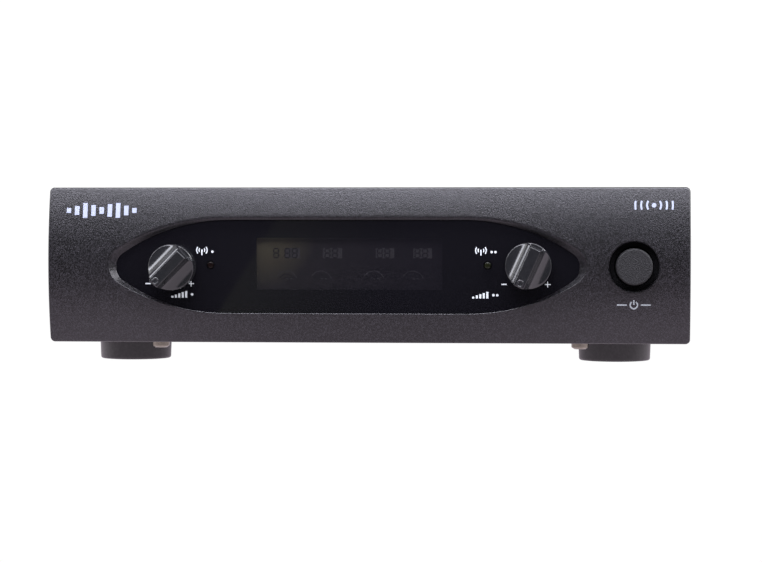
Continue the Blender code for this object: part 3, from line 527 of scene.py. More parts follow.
def circle(radius, steps, centre=(0, 0)):
    return arc(centre, radius, 0, 2 * pi, steps)[:-1]


def quarter_round(radius, steps=4):
    """(inset, depth) pairs of a rounded edge, from the face to the side."""
    angles = [pi / 2 * i / steps for i in range(steps + 1)]
    return [(radius * (1 - sin(a)), radius * (1 - cos(a))) for a in angles]


def rounded_profile(corners, steps=5):
    """A polyline in metres through (radius, height) or (radius, height, fillet) corners in mm."""
    spots = [Vector(corner[:2]) * MM for corner in corners]
    points = []
    for i, (here, corner) in enumerate(zip(spots, corners)):
        if len(corner) < 3:
            points.append(tuple(here))
            continue
        before, after = spots[i - 1] - here, spots[i + 1] - here
        half = before.angle(after) / 2
        reach = min(corner[2] * MM / tan(half), before.length * 0.49, after.length * 0.49)
        start, end = here + before.normalized() * reach, here + after.normalized() * reach
        for k in range(steps + 1):
            t = k / steps
            points.append(tuple(start * (1 - t) ** 2 + here * 2 * t * (1 - t) + end * t**2))
    return points


def lathe(bm, profile, steps=96, place=Matrix.Identity(4)):
    """Turns (radius, height) points about local Z; a zero radius is a pole. It returns the rings."""
    rings = []
    for radius, height in profile:
        if radius < 1e-9:
            rings.append([bm.verts.new(place @ Vector((0, 0, height)))])
            continue
        rings.append([bm.verts.new(place @ Vector((x, y, height))) for x, y in circle(radius, steps)])
    for upper, lower in zip(rings, rings[1:]):
        for i in range(steps):
            j = (i + 1) % steps
            spots = ((upper, i), (upper, j), (lower, j), (lower, i))
            corners = list(dict.fromkeys(ring[k % len(ring)] for ring, k in spots))
            if len(corners) > 2:
                bm.faces.new(corners)
    return rings


def join_rings(bm, rings):
    """Quads between each closed ring and the next."""
    for first, second in zip(rings, rings[1:]):
        for i in range(len(first)):
            j = (i + 1) % len(first)
            bm.faces.new((first[i], first[j], second[j], second[i]))


def ring_edges(bm, ring):
    return [bm.edges.get((a, b)) or bm.edges.new((a, b)) for a, b in zip(ring, ring[1:] + ring[:1])]


def fill_rings(bm, *rings):
    """Fills the flat region between an outer ring and the rings inside it."""
    edges = [edge for ring in rings for edge in ring_edges(bm, ring)]
    bmesh.ops.triangle_fill(bm, use_beauty=True, use_dissolve=False, edges=edges)


def level_ring(bm, outline, height):
    return [bm.verts.new((x, y, height)) for x, y in outline]


def drilled_plate(bm, *borders):
    """A plate on local Z; each border, the outer one first, is (outline, height) pairs, top to bottom."""
    tops, bottoms = [], []
    for border in borders:
        rings = [level_ring(bm, outline, height) for outline, height in border]
        join_rings(bm, rings)
        tops.append(rings[0])
        bottoms.append(rings[-1])
    fill_rings(bm, *tops)
    fill_rings(bm, *bottoms)


def rounded_border(outline_at, top, bottom, fillet):
    """A border whose top edge is rounded; outline_at gives the outline at an inset."""
    border = [(outline_at(inset), top - drop) for inset, drop in quarter_round(fillet)]
    return border + [(outline_at(0), bottom)]


def facing(rear=False, x=0.0, y=0.0, z=0.0, turn=0.0):
    """A matrix that lays local +Z towards the front, or towards the rear, at a place."""
    tilt = Matrix.Rotation(radians(-90 if rear else 90), 4, "X")
    return Matrix.Translation((x, y, z)) @ tilt @ Matrix.Rotation(turn, 4, "Z")


def front_of(node):
    """A matrix that lays local +Z towards the front, at the front of a node."""
    x, z = middle(node)
    return facing(False, x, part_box(node)[0].y, z)


def turned(bm, corners, steps=96, place=Matrix.Identity(4)):
    """Adds a turned shape from rounded_profile's corners; it is closed if it has no poles."""
    rings = lathe(bm, rounded_profile(corners), steps, place)
    if len(rings[0]) > 1:
        join_rings(bm, [rings[-1], rings[0]])


def turned_piece(name, corners, place, finish, node=None, body=CASE, steps=96):
    bm = bmesh.new()
    turned(bm, corners, steps)
    part(name, bm, place, finish, node, body)


# ---- fascia


def bow_depth(z):
    """How far behind the crest the fascia's face is at a height from its middle."""
    return BOW_RADIUS - sqrt(BOW_RADIUS**2 - z**2)


def almond(offset):
    """The opening's outline about the fascia's middle, grown by offset."""
    tip_x = OPENING_HALF_LENGTH - OPENING_TIP_RADIUS
    drop = OPENING_FLANK_RADIUS - OPENING_HALF_HEIGHT
    reach = sqrt((OPENING_FLANK_RADIUS - OPENING_TIP_RADIUS) ** 2 - drop**2)
    blend = atan2(drop, reach)
    quarter = arc((tip_x, 0), OPENING_TIP_RADIUS + offset, 0, blend, 14)
    flank = (tip_x - reach, -drop)
    quarter += arc(flank, OPENING_FLANK_RADIUS + offset, blend, pi / 2, 22)[1:]
    flat, height = quarter[-1]
    steps = 30
    quarter += [(flat * (1 - i / steps), height) for i in range(1, steps)]
    upper = quarter + [(0, height)] + [(-x, y) for x, y in reversed(quarter)]
    lower = [(x, -y) for x, y in reversed(upper)][1:-1]
    return [(x + OPENING_X, y - OPENING_DROP) for x, y in upper + lower]


def outward():
    """(point, outward direction) pairs round the opening's edge."""
    pairs = []
    for (x, z), (gx, gz) in zip(almond(0.0), almond(MM)):
        pairs.append(((x, z), ((gx - x) / MM, (gz - z) / MM)))
    return pairs


def add_ring(bm, outline, depth, bow):
    """A ring at a depth behind the crest; bow is the share of the face's bow that it follows."""
    weight = bm.verts.layers.float["bow"]
    ring = []
    for x, z in outline:
        vertex = bm.verts.new((x, depth, z))
        vertex[weight] = bow
        ring.append(vertex)
    return ring


def lip_ring(bm, share, drop):
    """A ring of the rounded lip, where the drafted wall meets the bowed face; the lip is softer above."""
    ring = []
    for (x, z), (ox, oz) in outward():
        reach = 0.0
        for _ in range(4):
            reach = OPENING_DRAFT * (WINDOW_DEPTH - bow_depth(z + oz * reach))
        softness = LIP_FILLET * (1 + 4 * max(0.0, oz) ** 2)
        reach += share * softness
        ring += add_ring(bm, [(x + ox * reach, z + oz * reach)], drop * softness, 1.0)
    return ring


def wall_foot():
    """The drafted wall's inner edge: the wall is steeper below the window than above it."""
    outline = []
    for (x, z), (ox, oz) in outward():
        reach = WALL_FOOT_DROP * max(0.0, -oz) ** 1.5
        outline.append((x + ox * reach, z + oz * reach))
    return outline


def bend_to_bow(bm):
    """Cuts the mesh into level strips and moves each point back by its share of the bow."""
    strips = int(PANEL_HALF_HEIGHT / STRIP_HEIGHT)
    for i in range(-strips, strips + 1):
        everything = bm.verts[:] + bm.edges[:] + bm.faces[:]
        level = (0, 0, i * STRIP_HEIGHT)
        bmesh.ops.bisect_plane(bm, geom=everything, dist=1e-7, plane_co=level, plane_no=(0, 0, 1))
    weight = bm.verts.layers.float["bow"]
    for vertex in bm.verts:
        vertex.co.y += bow_depth(vertex.co.z) * vertex[weight]
    bm.transform(Matrix.Translation((0, CREST, MID_Z)))


def panel_outline(inset):
    radius = max(CORNER_RADIUS - inset, 0.3 * MM)
    return rounded_rectangle(PANEL_HALF_WIDTH - inset, PANEL_HALF_HEIGHT - inset, radius)


def build_fascia():
    """The bowed shell: rounded rim, almond opening with a soft lip and a drafted wall, button hole."""
    bm = bmesh.new()
    bm.verts.layers.float.new("bow")
    button_x, button_z = middle("power_button")

    def button_hole(inset):
        return circle(BUTTON_HOLE_RADIUS + inset, 96, (button_x, button_z - MID_Z))

    rim = [add_ring(bm, panel_outline(inset), depth, 1) for inset, depth in quarter_round(RIM_FILLET)]
    for inset, depth, bow in ((0, RIM_DEPTH, 0), (WALL, RIM_DEPTH, 0), (WALL, WALL, 1)):
        rim.append(add_ring(bm, panel_outline(inset), depth, bow))

    opening = [lip_ring(bm, share, drop) for share, drop in LIP]
    opening.append(add_ring(bm, wall_foot(), WINDOW_DEPTH, 0))
    opening.append(add_ring(bm, almond(WINDOW_OVERLAP), WINDOW_DEPTH, 0))
    opening.append(add_ring(bm, almond(WINDOW_OVERLAP), WALL, 1))

    edge = quarter_round(BUTTON_HOLE_FILLET)
    hole = [add_ring(bm, button_hole(inset), depth, 1) for inset, depth in edge]
    hole.append(add_ring(bm, button_hole(0), WALL, 1))

    for rings in (rim, opening, hole):
        join_rings(bm, rings)
    fill_rings(bm, rim[0], opening[0], hole[0])
    fill_rings(bm, rim[-1], opening[-1], hole[-1])
    bend_to_bow(bm)
    part("fascia", bm, Matrix.Identity(4), "fascia_grey", "front_panel", angle=40.0)


# ---- window


def window_holes():
    """Outlines of the holes through the window, for the shafts and the signal lights."""
    holes = []
    for letter in "ab":
        for node, radius in (("pot_shaft", SHAFT_HOLE_RADIUS), ("signal_led", LED_HOLE_RADIUS)):
            x, z = middle(f"{node}_{letter}")
            holes.append(circle(radius, 48, (x, z - MID_Z)))
    return holes


def front_sheet(name, outlines, y, thickness, finish, node=None):
    """A flat piece whose front is at y, from its outline and the outlines of its holes."""
    bm = bmesh.new()
    drilled_plate(bm, *[[(outline, 0), (outline, -thickness)] for outline in outlines])
    part(name, bm, facing(False, 0, y, MID_Z), finish, node)


def build_window():
    """The smoked plate behind the opening, and the black print on its back round the display."""
    drills = window_holes()
    plate = [almond(WINDOW_OVERLAP - 0.1 * MM), *drills]
    thickness = WINDOW_HIGH.y - WINDOW_LOW.y
    front_sheet("window", plate, WINDOW_LOW.y, thickness, "window_black", "display_window")

    view_x, view_z = middle("lcd_holder")
    view = [(x + view_x, z + view_z - MID_Z) for x, z in rounded_rectangle(*DISPLAY_VIEW, 0.3 * MM, 3)]
    mask = [almond(WINDOW_OVERLAP - 0.3 * MM), *drills, view]
    front_sheet("window_mask", mask, WINDOW_HIGH.y + MASK, MASK, "mask")


# ---- prints, in mm


def bar(x, z, width, height):
    x0, x1, z0, z1 = x - width / 2, x + width / 2, z - height / 2, z + height / 2
    return [(x0, z0), (x1, z0), (x1, z1), (x0, z1)]


def arc_stroke(centre, radius, start, end, width, steps=12):
    """A curved line of some width, as a closed outline; angles in degrees."""
    start, end = radians(start), radians(end)
    outer = arc(centre, radius + width / 2, start, end, steps)
    return outer + arc(centre, radius - width / 2, end, start, steps)


def printed(name, marks, depth, bow, finish):
    """Marks printed on a face at a depth behind the crest; bow is 1 on the fascia and 0 on the window."""
    bm = bmesh.new()
    bm.verts.layers.float.new("bow")
    for outline in marks:
        scaled = [(x * MM, z * MM) for x, z in outline]
        rings = [add_ring(bm, scaled, depth + level, bow) for level in (-INK, INK)]
        join_rings(bm, rings)
        for ring in rings:
            bm.faces.new(ring)
    bend_to_bow(bm)
    bmesh.ops.recalc_face_normals(bm, faces=bm.faces[:])
    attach(new_object(name, bm, MATERIALS[finish]), CASE)


def level_mark():
    """A row of bars like a sound level, at the upper left of the fascia."""
    heights = (1.6, 3.0, 4.9, 3.6, 2.2, 4.2, 4.9, 3.2, 1.6)
    return [bar(-99.2 + 2.75 * i, 18.05, 1.5, height) for i, height in enumerate(heights)]


def wave_mark():
    """Radio waves on both sides of a dot, at the upper right of the fascia."""
    centre = (94.1, 19.75)
    marks = [circle(0.75, 20, centre)]
    for radius, spread in ((2.3, 36), (4.2, 20), (6.1, 13.5)):
        for side in (0, 180):
            marks.append(arc_stroke(centre, radius, side - spread, side + spread, 0.62))
    return marks


def power_mark():
    """The usual sign for power, a line in an open circle, between two dashes."""
    x, z = 87.6, -12.8
    marks = [arc_stroke((x, z), 1.2, 125, 415, 0.45, 24), bar(x, z + 0.85, 0.45, 1.5)]
    return marks + [bar(x + side * 3.9, z, 3.2, 0.45) for side in (-1, 1)]


def channel_dots(x, z, count):
    return [circle(0.42, 16, (x + 1.25 * i, z)) for i in range(count)]


def window_marks(letter):
    """Minus and plus at a knob, a mast with waves for signal, and rising bars for volume."""
    count = 1 if letter == "a" else 2
    signal_x, volume_x = (-56.2, -64.6) if letter == "a" else (36.2, 35.2)
    minus_x, plus_x = (-72.75, -58.35) if letter == "a" else (45.3, 59.55)
    sign_z, signal_z = -6.2, 4.4
    marks = [bar(minus_x, sign_z, 1.75, 0.42)]
    marks.append([(plus_x + x, sign_z + z) for x, z in cross_outline(0.95, 0.15)])
    mast_x = signal_x + 1.5
    marks.append(bar(mast_x, signal_z - 0.2, 0.42, 1.9))
    for radius in (0.95, 1.75):
        for side in (0, 180):
            marks.append(arc_stroke((mast_x, signal_z + 0.5), radius, side - 38, side + 38, 0.36, 6))
    marks += channel_dots(signal_x + 5.0, signal_z, count)
    for i in range(5):
        height = 0.6 + 0.4 * i
        marks.append(bar(volume_x + 1.15 * i, -10.85 + height / 2, 0.7, height))
    return marks + channel_dots(volume_x + 6.6, -9.75, count)


def build_prints():
    printed("print_level", level_mark(), 0.0, 1.0, "silver_ink")
    printed("print_waves", wave_mark(), 0.0, 1.0, "silver_ink")
    printed("print_power", power_mark(), 0.0, 1.0, "grey_ink")
    for letter in "ab":
        printed(f"print_window_{letter}", window_marks(letter), WINDOW_LOW.y - CREST, 0.0, "white_ink")


# ---- display, in mm


def digit(x, z, width, height, stroke):
    """The seven separate segments of a numeral, as outlines."""
    half, gap = height / 2, stroke * 0.3
    marks = [bar(x, z + k * half, width - stroke - gap, stroke) for k in (-1, 0, 1)]
    for side in (-1, 1):
        for k in (-0.5, 0.5):
            bar_x = x + side * (width - stroke) / 2
            marks.append(bar(bar_x, z + k * half, stroke, half - stroke - gap))
    return marks


def build_display():
    """The segments that show faintly on the unlit cell: digits and blocks above, dials below."""
    low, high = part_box("lcd_glass")
    depth = low.y - CREST
    mid = (low.x + high.x) / 2 / MM
    digits_z, dial_z = 3.9, -5.6
    segments, blocks = [], []
    for group, width in ((-19.0, 5.0), (-5.6, 6.4), (11.8, 6.2), (24.3, 6.2)):
        blocks.append(bar(mid + group, digits_z, width, 3.4))
        for i in (-3.2, -1.0, 0.45):
            segments += digit(mid + group + i * 1.7, digits_z, 2.0, 3.0, 0.4)
    for dial in (-21.0, -9.5, 8.0, 21.0):
        centre = (mid + dial, dial_z)
        blocks.append(arc_stroke(centre, 3.6, 20, 150, 0.25, 14))
        for radius in (1.4, 2.5):
            segments.append(arc_stroke(centre, radius, 25, 155, 0.4, 14))
        blocks.append(bar(centre[0] + 1.2, dial_z + 1.0, 2.6, 0.3))
        segments.append(bar(centre[0] + 5.6, dial_z + 2.6, 2.6, 0.4))
    printed("display_blocks", blocks, depth, 0.0, "block_ink")
    printed("display_segments", segments, depth - INK, 0.0, "segment_ink")


# ---- controls


def knob_section(ledged):
    """(distance from the grip's middle, height) pairs across a knob: flat top, side, ledge, scoop, rim."""
    half, top, edge = KNOB_BAR_HALF_WIDTH, KNOB_HEIGHT, KNOB_GRIP_EDGE
    flat = [(0, top), (half - edge - 0.04 * MM, top)]
    side = arc((half - edge, top - edge), edge, radians(90), radians(15), 5)
    ledge = [(half + out * MM, top - drop * MM) for out, drop in KNOB_LEDGE]
    centre = (KNOB_SCOOP_END, KNOB_FLOOR + KNOB_SCOOP_RADIUS)
    scoop = arc(centre, KNOB_SCOOP_RADIUS, radians(208), radians(270), 16)
    return flat + side + (ledge if ledged else []) + scoop + [(KNOB_RADIUS, KNOB_FLOOR)]


def along(points, place):
    """The height of a polyline of (place, height) points at a place."""
    for (x0, y0), (x1, y1) in zip(points, points[1:]):
        if place <= x1:
            return y0 + (y1 - y0) * (place - x0) / (x1 - x0)
    return points[-1][1]


def rounded_drop(distance):
    """How far a rounded edge has dropped at a distance inside the edge."""
    gap = KNOB_EDGE - min(max(distance, 0.0), KNOB_EDGE)
    return KNOB_EDGE - sqrt(KNOB_EDGE**2 - gap**2)


def knob_height(sections, x, u):
    """The height of the knob's face: its section, cut off behind the grip's tail, with a rounded rim."""
    height = along(sections[u < 0], abs(u))
    past = -KNOB_TAIL - x
    if past > -KNOB_EDGE:
        tail = KNOB_HEIGHT - rounded_drop(-past) if past < 0 else KNOB_HEIGHT - KNOB_EDGE - 8 * past
        height = min(height, max(KNOB_FLOOR, tail))
    return height - rounded_drop(KNOB_RADIUS - hypot(x, u))


def knob_columns(sections):
    """Distances from the grip's middle at which the face has a row of points, even round the rim too."""
    rim = [KNOB_RADIUS * sin(radians(2.5 * i)) for i in range(37)]
    half = sorted({round(u, 6) for u in rim + [u for section in sections for u, _ in section]})
    half = [half[0]] + [u for before, u in zip(half, half[1:]) if u - before > 2e-5 or u == half[-1]]
    return [-u for u in reversed(half[1:])] + half


def knob_rows(u):
    """Places along the grip at which a column has points, closer at the rim and at the grip's tail."""
    reach = sqrt(max(KNOB_RADIUS**2 - u**2, 0.0))
    inner = KNOB_RADIUS - 2 * KNOB_EDGE
    share = max(0.0, min(1.0, (reach - 1.2 * KNOB_EDGE) / inner))
    tail = [-KNOB_TAIL + k * MM for k in (0.4, 0.28, 0.18, 0.1, 0.04, 0.0, -0.3, -0.6)]
    middle_rows = [inner * (1 - k / 6) for k in range(11)] + tail
    ends = [reach - share * k * KNOB_EDGE for k in (0.0, 0.03, 0.13, 0.3, 0.55, 0.8)]
    return ends + [share * x for x in middle_rows] + [-x for x in reversed(ends)]


def knob_face(bm):
    """The knob's face as columns of points across the grip; it returns the vertices round its rim."""
    sections = (knob_section(False), knob_section(True))
    columns = []
    for u in knob_columns(sections):
        columns.append([bm.verts.new((x, u, knob_height(sections, x, u))) for x in knob_rows(u)])
    for left, right in zip(columns, columns[1:]):
        for i in range(len(left) - 1):
            bm.faces.new((left[i], left[i + 1], right[i + 1], right[i]))
    ends = [column[-1] for column in columns[1:-1]]
    starts = [column[0] for column in columns[-2:0:-1]]
    return columns[0] + ends + columns[-1][::-1] + starts


def knob_side(bm, rim):
    """The knob's ribbed side, its skirt and the bore in its back, hung from the rim of the face."""
    rings = [rim]
    for share, ribbed in ((0.06, False), (0.1, True), (0.9, True), (0.94, False), (1.0, False)):
        ring = []
        for x, y, z in [vertex.co for vertex in rim]:
            in_groove = ribbed and cos(KNOB_RIBS * atan2(y, x)) < 0.3
            size = KNOB_GROOVE if in_groove else 1.0
            ring.append(bm.verts.new((x * size, y * size, z + (KNOB_SKIRT - z) * share)))
        rings.append(ring)
    bore, edge, depth = 3.1 * MM, 0.2 * MM, 5.0 * MM
    for radius, height in ((KNOB_RADIUS, edge), (KNOB_RADIUS - edge, 0), (bore, 0), (bore, depth)):
        spots = [vertex.co.xy.normalized() * radius for vertex in rim]
        rings.append([bm.verts.new((*spot, height)) for spot in spots])
    join_rings(bm, rings)
    bm.faces.new(rings[-1])


def knob_bead(bm):
    """A low rounded loop on the grip, at the pointer end."""
    loops = []
    for grow, height in KNOB_BEAD:
        outline = rounded_rectangle((0.95 + grow) * MM, (0.8 + grow) * MM, (0.45 + grow) * MM, 4)
        loops.append([bm.verts.new((x + KNOB_BEAD_X, y, KNOB_HEIGHT + height * MM)) for x, y in outline])
    join_rings(bm, loops + loops[:1])


def build_knob(letter):
    """A knob, made on local Z with its pointer along +X: a straight grip between two scoops."""
    bm = bmesh.new()
    knob_side(bm, knob_face(bm))
    bmesh.ops.remove_doubles(bm, verts=bm.verts[:], dist=2e-6)
    knob_bead(bm)
    body = f"volume_control_{letter}"
    place = facing(False, *JOINT_POS[body], KNOB_POINTER[letter])
    part(f"knob_{letter}", bm, place, "knob_black", f"volume_knob_{letter}", body=body, angle=38)


def build_button():
    """The domed cap with a rounded rim, and its stem."""
    low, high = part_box("power_button")
    radius, end, stem = half_width("power_button") / MM, (low.y - high.y) / MM, 3.2
    back = (low.y - CREST) / MM - 5.0
    corners = [(0, 0), (radius - 0.2, -0.05, 0.5), (radius, -1.5, 0.5), (radius, back, 0.2)]
    corners += [(stem, back), (stem, end), (0, end)]
    place = front_of("power_button")
    turned_piece("power_cap", corners, place, "button_black", "power_button", "power_key")


def build_led(letter, finish):
    """The domed light on its spacer, behind its hole in the window."""
    node = f"signal_led_{letter}"
    low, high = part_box(node)
    end, dome, base = (low.y - high.y) / MM, 1.2, 1.6
    corners = [(0, 0), (dome * 0.98, 0, 1.3), (dome, end + 4.6), (dome, -4.4, 0.1)]
    corners += [(base, -4.5, 0.1), (base, end, 0.1), (0, end)]
    turned_piece(f"led_{letter}", corners, front_of(node), finish, node, steps=48)


def build_collar():
    """The ring at the bottom of the button's hole, with a rounded bore; its finish is darkened past black plastic
    as painted shade in the hole.
    """
    low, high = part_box("button_collar")
    radius, end, bore = half_width("button_collar") / MM, (low.y - high.y) / MM, 6.3
    corners = [(bore, end), (bore, 0, 0.5), (radius, 0, 0.2), (radius, end)]
    turned_piece("collar_ring", corners, front_of("button_collar"), "collar", "button_collar")


# ---- screws, nuts and feet


def cross_outline(reach, half):
    """A plus sign about zero."""
    corner = [(reach, -half), (reach, half), (half, half)]
    points = []
    for turn in range(4):
        c, s = round(cos(turn * pi / 2)), round(sin(turn * pi / 2))
        points += [(x * c - y * s, x * s + y * c) for x, y in corner]
    return points


def cross_screw(node, place, head, height, shank, length, sunk=False):
    """A screw, sized in mm, with its head on local +Z, its seat at zero and a tapered cross recess."""
    if sunk:
        corners = [(head * 0.9, height), (head, height - 0.15), (shank, height - head + shank)]
    else:
        corners = [(head * 0.66, height), (head * 0.98, height * 0.72, 0.4)]
        corners += [(head, 0, 0.12), (shank, 0)]
    corners += [(shank, shank - length), (0, -length)]
    bm = bmesh.new()
    rings = lathe(bm, rounded_profile(corners), 40)
    reach, half = head * 0.52 * MM, head * 0.12 * MM
    recess = [
        level_ring(bm, cross_outline(reach, half), height * MM),
        level_ring(bm, cross_outline(reach * 0.45, half * 0.7), (height - head * 0.42) * MM),
    ]
    join_rings(bm, recess)
    bm.faces.new(recess[1])
    fill_rings(bm, rings[0], recess[0])
    part(f"bolt_{node}", bm, place, "plated_steel", node)


def build_screws():
    """Every screw that shows: under the fascia and feet, on the cover's sides and at the outputs."""
    flip = Matrix.Rotation(pi, 4, "X")
    for node in frame["nodes"]:
        low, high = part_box(node)
        x, y, z = (low + high) / 2
        twist = Matrix.Rotation(radians(17 + 3000 * (low.x + low.y)), 4, "Z")
        if node.startswith(("panel_screw", "foot_screw")):
            height = 2.1
            place = Matrix.Translation((x, y, low.z + height * MM)) @ flip @ twist
            cross_screw(node, place, 2.9, height, 1.3, (high.z - low.z) / MM - height)
        elif node.startswith("cover_screw"):
            height = 1.7
            side = 1 if x > 0 else -1
            seat = (high.x if side > 0 else low.x) - side * height * MM
            turn = Matrix.Rotation(side * pi / 2, 4, "Y")
            cross_screw(node, Matrix.Translation((seat, y, z)) @ turn @ twist, 2.6, height, 1.2, 5.6)
        elif node.startswith("xlr_screw"):
            place = facing(True, x, high.y, z) @ twist
            cross_screw(node, place, 2.3, 0, 1.2, (high.y - low.y) / MM, True)


def build_foot(node):
    """A moulded foot: a tapered wall, a rounded tread with shallow rings, and the screw's recess."""
    low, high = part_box(node)
    radius, top = half_width(node) / MM, high.z / MM
    corners = [(0, top), (radius - 0.1, top, 0.15), (radius - 0.35, 0, 1.0)]
    for groove in (10.0, 8.4):
        for step, depth in ((0.35, 0), (0.25, 0.4), (-0.25, 0.4), (-0.35, 0)):
            corners.append((groove + step, depth, 0.05))
    corners += [(4.4, 0, 0.3), (4.2, 3.0, 0.2), (0, 3.0)]
    place = Matrix.Translation(((low.x + high.x) / 2, (low.y + high.y) / 2, 0))
    turned_piece(node.replace("foot", "pad"), corners, place, "foot_black", node)


def build_nut(name, node, outline_at, bore):
    """A nut on the rear wall, bevelled at its edge and bore; outline_at gives its outline at a growth."""
    low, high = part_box(node)
    top, bevel = high.y - low.y, 0.3 * MM
    outer = [(outline_at(-bevel), top), (outline_at(0), top - bevel), (outline_at(0), 0)]
    inner = [(circle(bore + bevel, 48), top), (circle(bore, 48), top - bevel), (circle(bore, 48), 0)]
    bm = bmesh.new()
    drilled_plate(bm, outer, inner)
    x, z = middle(node)
    part(name, bm, facing(True, x, low.y, z), "nickel", node, angle=25.0)


# ---- rear sockets


def threaded(start, end, radius, pitch=0.5, depth=0.18):
    """Corners in mm of a threaded length that runs down from start to end."""
    turns = max(1, round((start - end) / pitch))
    corners = []
    for i in range(turns):
        height = start + (end - start) * i / turns
        corners += [(radius - depth, height), (radius, height - pitch / 2)]
    return corners + [(radius - depth, end)]


def rear_of(node):
    """A matrix that lays local +Z towards the rear, on the rear wall, and how proud the node is in mm."""
    x, z = middle(node)
    return facing(True, x, REAR, z), (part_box(node)[1].y - REAR) / MM


def build_antenna_socket(letter):
    """A bayonet socket: a threaded barrel with two lugs, an insulator and a slotted contact."""
    node, nut = f"antenna_socket_{letter}", f"antenna_nut_{letter}"
    place, proud = rear_of(node)
    barrel, bore, flange = 4.7, 4.0, 6.8
    corners = [(0, 4.0), (bore, 4.0), (bore, proud, 0.15), (barrel, proud, 0.25), (barrel, 6.0)]
    corners += threaded(5.8, 0.2, barrel)
    corners += [(barrel, -1.5), (flange, -1.5), (flange, -3.5, 0.2)]
    corners += [(bore, -3.5), (bore, -8.5, 0.2), (0, -8.5)]
    bm = bmesh.new()
    turned(bm, corners, 64)
    lug = [(0, 5.7), (1.0, 5.7, 0.25), (1.0, 4.4), (0, 4.4)]
    for side in (-1, 1):
        turn = Matrix.Rotation(side * pi / 2, 4, "X")
        turned(bm, lug, 24, Matrix.Translation((0, 0, (proud - 2.8) * MM)) @ turn)
    part(f"bayonet_{letter}", bm, place, "nickel", node)

    corners = [(1.15, 4.0), (1.15, 9.3, 0.2), (2.2, 9.3, 0.3)]
    corners += [(2.2, 5.2), (3.9, 5.2, 0.1), (3.9, 4.0)]
    turned_piece(f"insulator_{letter}", corners, place, "moulded_black", steps=48)
    corners = [(0, 6.0), (0.6, 6.0), (0.6, 9.5, 0.1), (1.1, 9.5, 0.15), (1.1, 4.0), (0, 4.0)]
    turned_piece(f"contact_{letter}", corners, place, "nickel", steps=32)

    build_nut(f"hex_nut_{letter}", nut, lambda grow: circle(half_width(nut) + grow, 6), 4.9 * MM)


def output_flange(letter, bore):
    """The outline and height pairs of an output's flange: its edge, its bore and its two screw holes."""
    node = f"xlr_shell_{letter}"
    low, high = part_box(node)
    x, z = middle(node)
    top, back = high.y - REAR, 0.1 * MM
    half_x, half_z = (high.x - low.x) / 2, (high.z - low.z) / 2

    def edge_at(inset):
        return rounded_rectangle(half_x - inset, half_z - inset, 3 * MM - inset, 10)

    borders = [rounded_border(edge_at, top, back, 0.35 * MM)]
    borders.append(rounded_border(lambda grow: circle(bore + grow, 96), top, back, 0.5 * MM))
    for i in (1, 2):
        screw_x, screw_z = middle(f"xlr_screw_{letter}_{i}")
        at = (screw_x - x, z - screw_z)
        steps = ((2.6 * MM, top), (1.5 * MM, top - 1.2 * MM), (1.5 * MM, back))
        borders.append([(circle(radius, 32, at), height) for radius, height in steps])
    return borders


def build_output_socket(letter):
    """A flanged output: shell with a bevelled rim, keyed insulator and three domed pins."""
    shell, insert = f"xlr_shell_{letter}", f"xlr_insert_{letter}"
    place, _ = rear_of(shell)
    bore, wall = 9.6, 11.8
    plate = bmesh.new()
    drilled_plate(plate, *output_flange(letter, bore * MM))
    part(f"output_flange_{letter}", plate, place, "nickel", shell)

    end = (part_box(shell)[0].y - REAR) / MM
    corners = [(bore, 0.1), (bore, end), (wall, end), (wall, 0.1)]
    turned_piece(f"output_tube_{letter}", corners, place, "nickel")

    low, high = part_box(insert)
    face, back, tip = -15.0, (low.y - REAR) / MM, (high.y - REAR) / MM
    sunk = face - 0.5
    corners = [(0, face), (6.6, face, 0.1), (6.9, sunk, 0.1), (7.6, sunk, 0.1), (7.9, face, 0.1)]
    corners += [(9.5, face, 0.2), (9.5, back), (0, back)]
    turned_piece(f"output_insert_{letter}", corners, place, "moulded_black", insert)

    pins = bmesh.new()
    for x, z in ((-5.0, 3.0), (5.0, 3.0), (0, -5.2)):
        corners = [(0, tip), (1.18, tip, 1.1), (1.2, sunk), (0, sunk)]
        turned(pins, corners, 32, Matrix.Translation((x * MM, -z * MM, 0)))
    part(f"output_pins_{letter}", pins, place, "gold")


def knurled(radius, teeth=40, height=0.22 * MM):
    """A round outline with fine teeth."""
    points = []
    for i in range(teeth):
        for share, drop in ((0.0, height), (0.3, 0), (0.7, 0)):
            angle = 2 * pi * (i + share) / teeth
            points.append(((radius - drop) * cos(angle), (radius - drop) * sin(angle)))
    return points


def socket_body(name, node, edge):
    """The moulded box of a socket with rounded edges, up to the inside of the rear wall."""
    low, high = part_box(node)
    high.y = REAR - SHEET
    bm = bmesh.new()
    bmesh.ops.create_cube(bm, size=1.0, matrix=Matrix.LocRotScale((low + high) / 2, None, high - low))
    body = soften(new_object(name, bm, MATERIALS["moulded_black"]), edge, 3)
    piece(body, CASE, node)


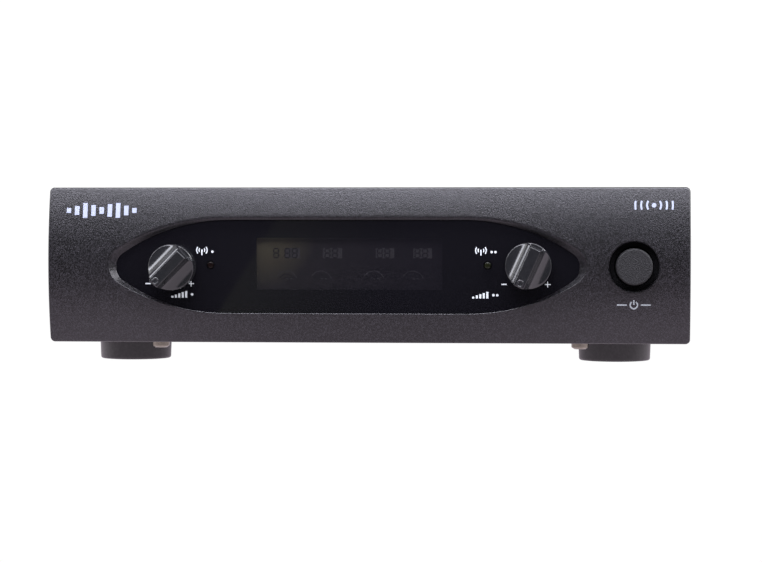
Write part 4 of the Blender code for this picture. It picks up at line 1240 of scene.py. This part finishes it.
def build_jack():
    """The mixed output: a body with rounded edges, a threaded bushing and a knurled nut."""
    socket_body("jack_body", "mix_jack", 0.5 * MM)
    proud = (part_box("mix_jack")[1].y - REAR) / MM
    bore, thread = 3.25, 4.5
    corners = [(bore, -6.0), (bore, proud, 0.3), (4.3, proud, 0.2)] + threaded(proud - 0.3, 0, thread)
    corners += [(thread, -1.5), (thread, -6.0)]
    turned_piece("jack_bushing", corners, rear_of("mix_jack_nut")[0], "moulded_black", steps=64)
    nut = "mix_jack_nut"
    build_nut("jack_nut", nut, lambda grow: knurled(half_width(nut) + grow), 4.6 * MM)


def build_inlet():
    """The power inlet: a square body, a round mouth with a rounded rim, and a centre pin."""
    socket_body("inlet_body", "dc_inlet", 0.4 * MM)
    place, proud = rear_of("dc_inlet")
    bore, rim, end = 3.0, 4.0, -9.0
    corners = [(bore, end), (bore, proud, 0.3), (rim, proud, 0.3), (rim, end)]
    turned_piece("inlet_mouth", corners, place, "moulded_black", steps=64)
    corners = [(0, -0.5), (1.05, -0.5, 0.5), (1.05, end), (0, end)]
    turned_piece("inlet_pin", corners, place, "nickel", steps=32)


# ---- CAD nodes that stay


def refine(node, width):
    """Rounds the folded edges of a CAD node with modifiers; its own mesh stays as it is."""
    obj = frame["nodes"][node]
    weld = obj.modifiers.new("weld", "WELD")
    weld.merge_threshold = 0.002 * MM
    flat = obj.modifiers.new("planar", "DECIMATE")
    flat.decimate_type = "DISSOLVE"
    flat.angle_limit = radians(1.0)
    soften(obj, width, 2, 40)


def restyle_slots():
    """Gives every CAD node the finish of its slot."""
    for entry in frame["record"]["subparts"]:
        mesh = frame["nodes"][entry["node"]].data
        mesh.materials.clear()
        mesh.materials.append(MATERIALS[entry["material_slot"]])


# ---- assembly


def build():
    """Restyles the CAD nodes that stay, and makes the pieces that stand for the others."""
    make_materials()
    restyle_slots()
    for node, width in (("top_cover", 0.25 * MM), ("base_chassis", 0.3 * MM), ("lcd_holder", 0.2 * MM)):
        refine(node, width)
    build_fascia()
    build_window()
    build_prints()
    build_display()
    for letter, led in (("a", "led_red"), ("b", "led_clear")):
        build_knob(letter)
        build_led(letter, led)
        build_antenna_socket(letter)
        build_output_socket(letter)
    build_button()
    build_collar()
    build_jack()
    build_inlet()
    build_screws()
    for node in list(frame["nodes"]):
        if node.startswith("foot_") and "screw" not in node:
            build_foot(node)


add_camera()
add_surround()
add_stage()
build()
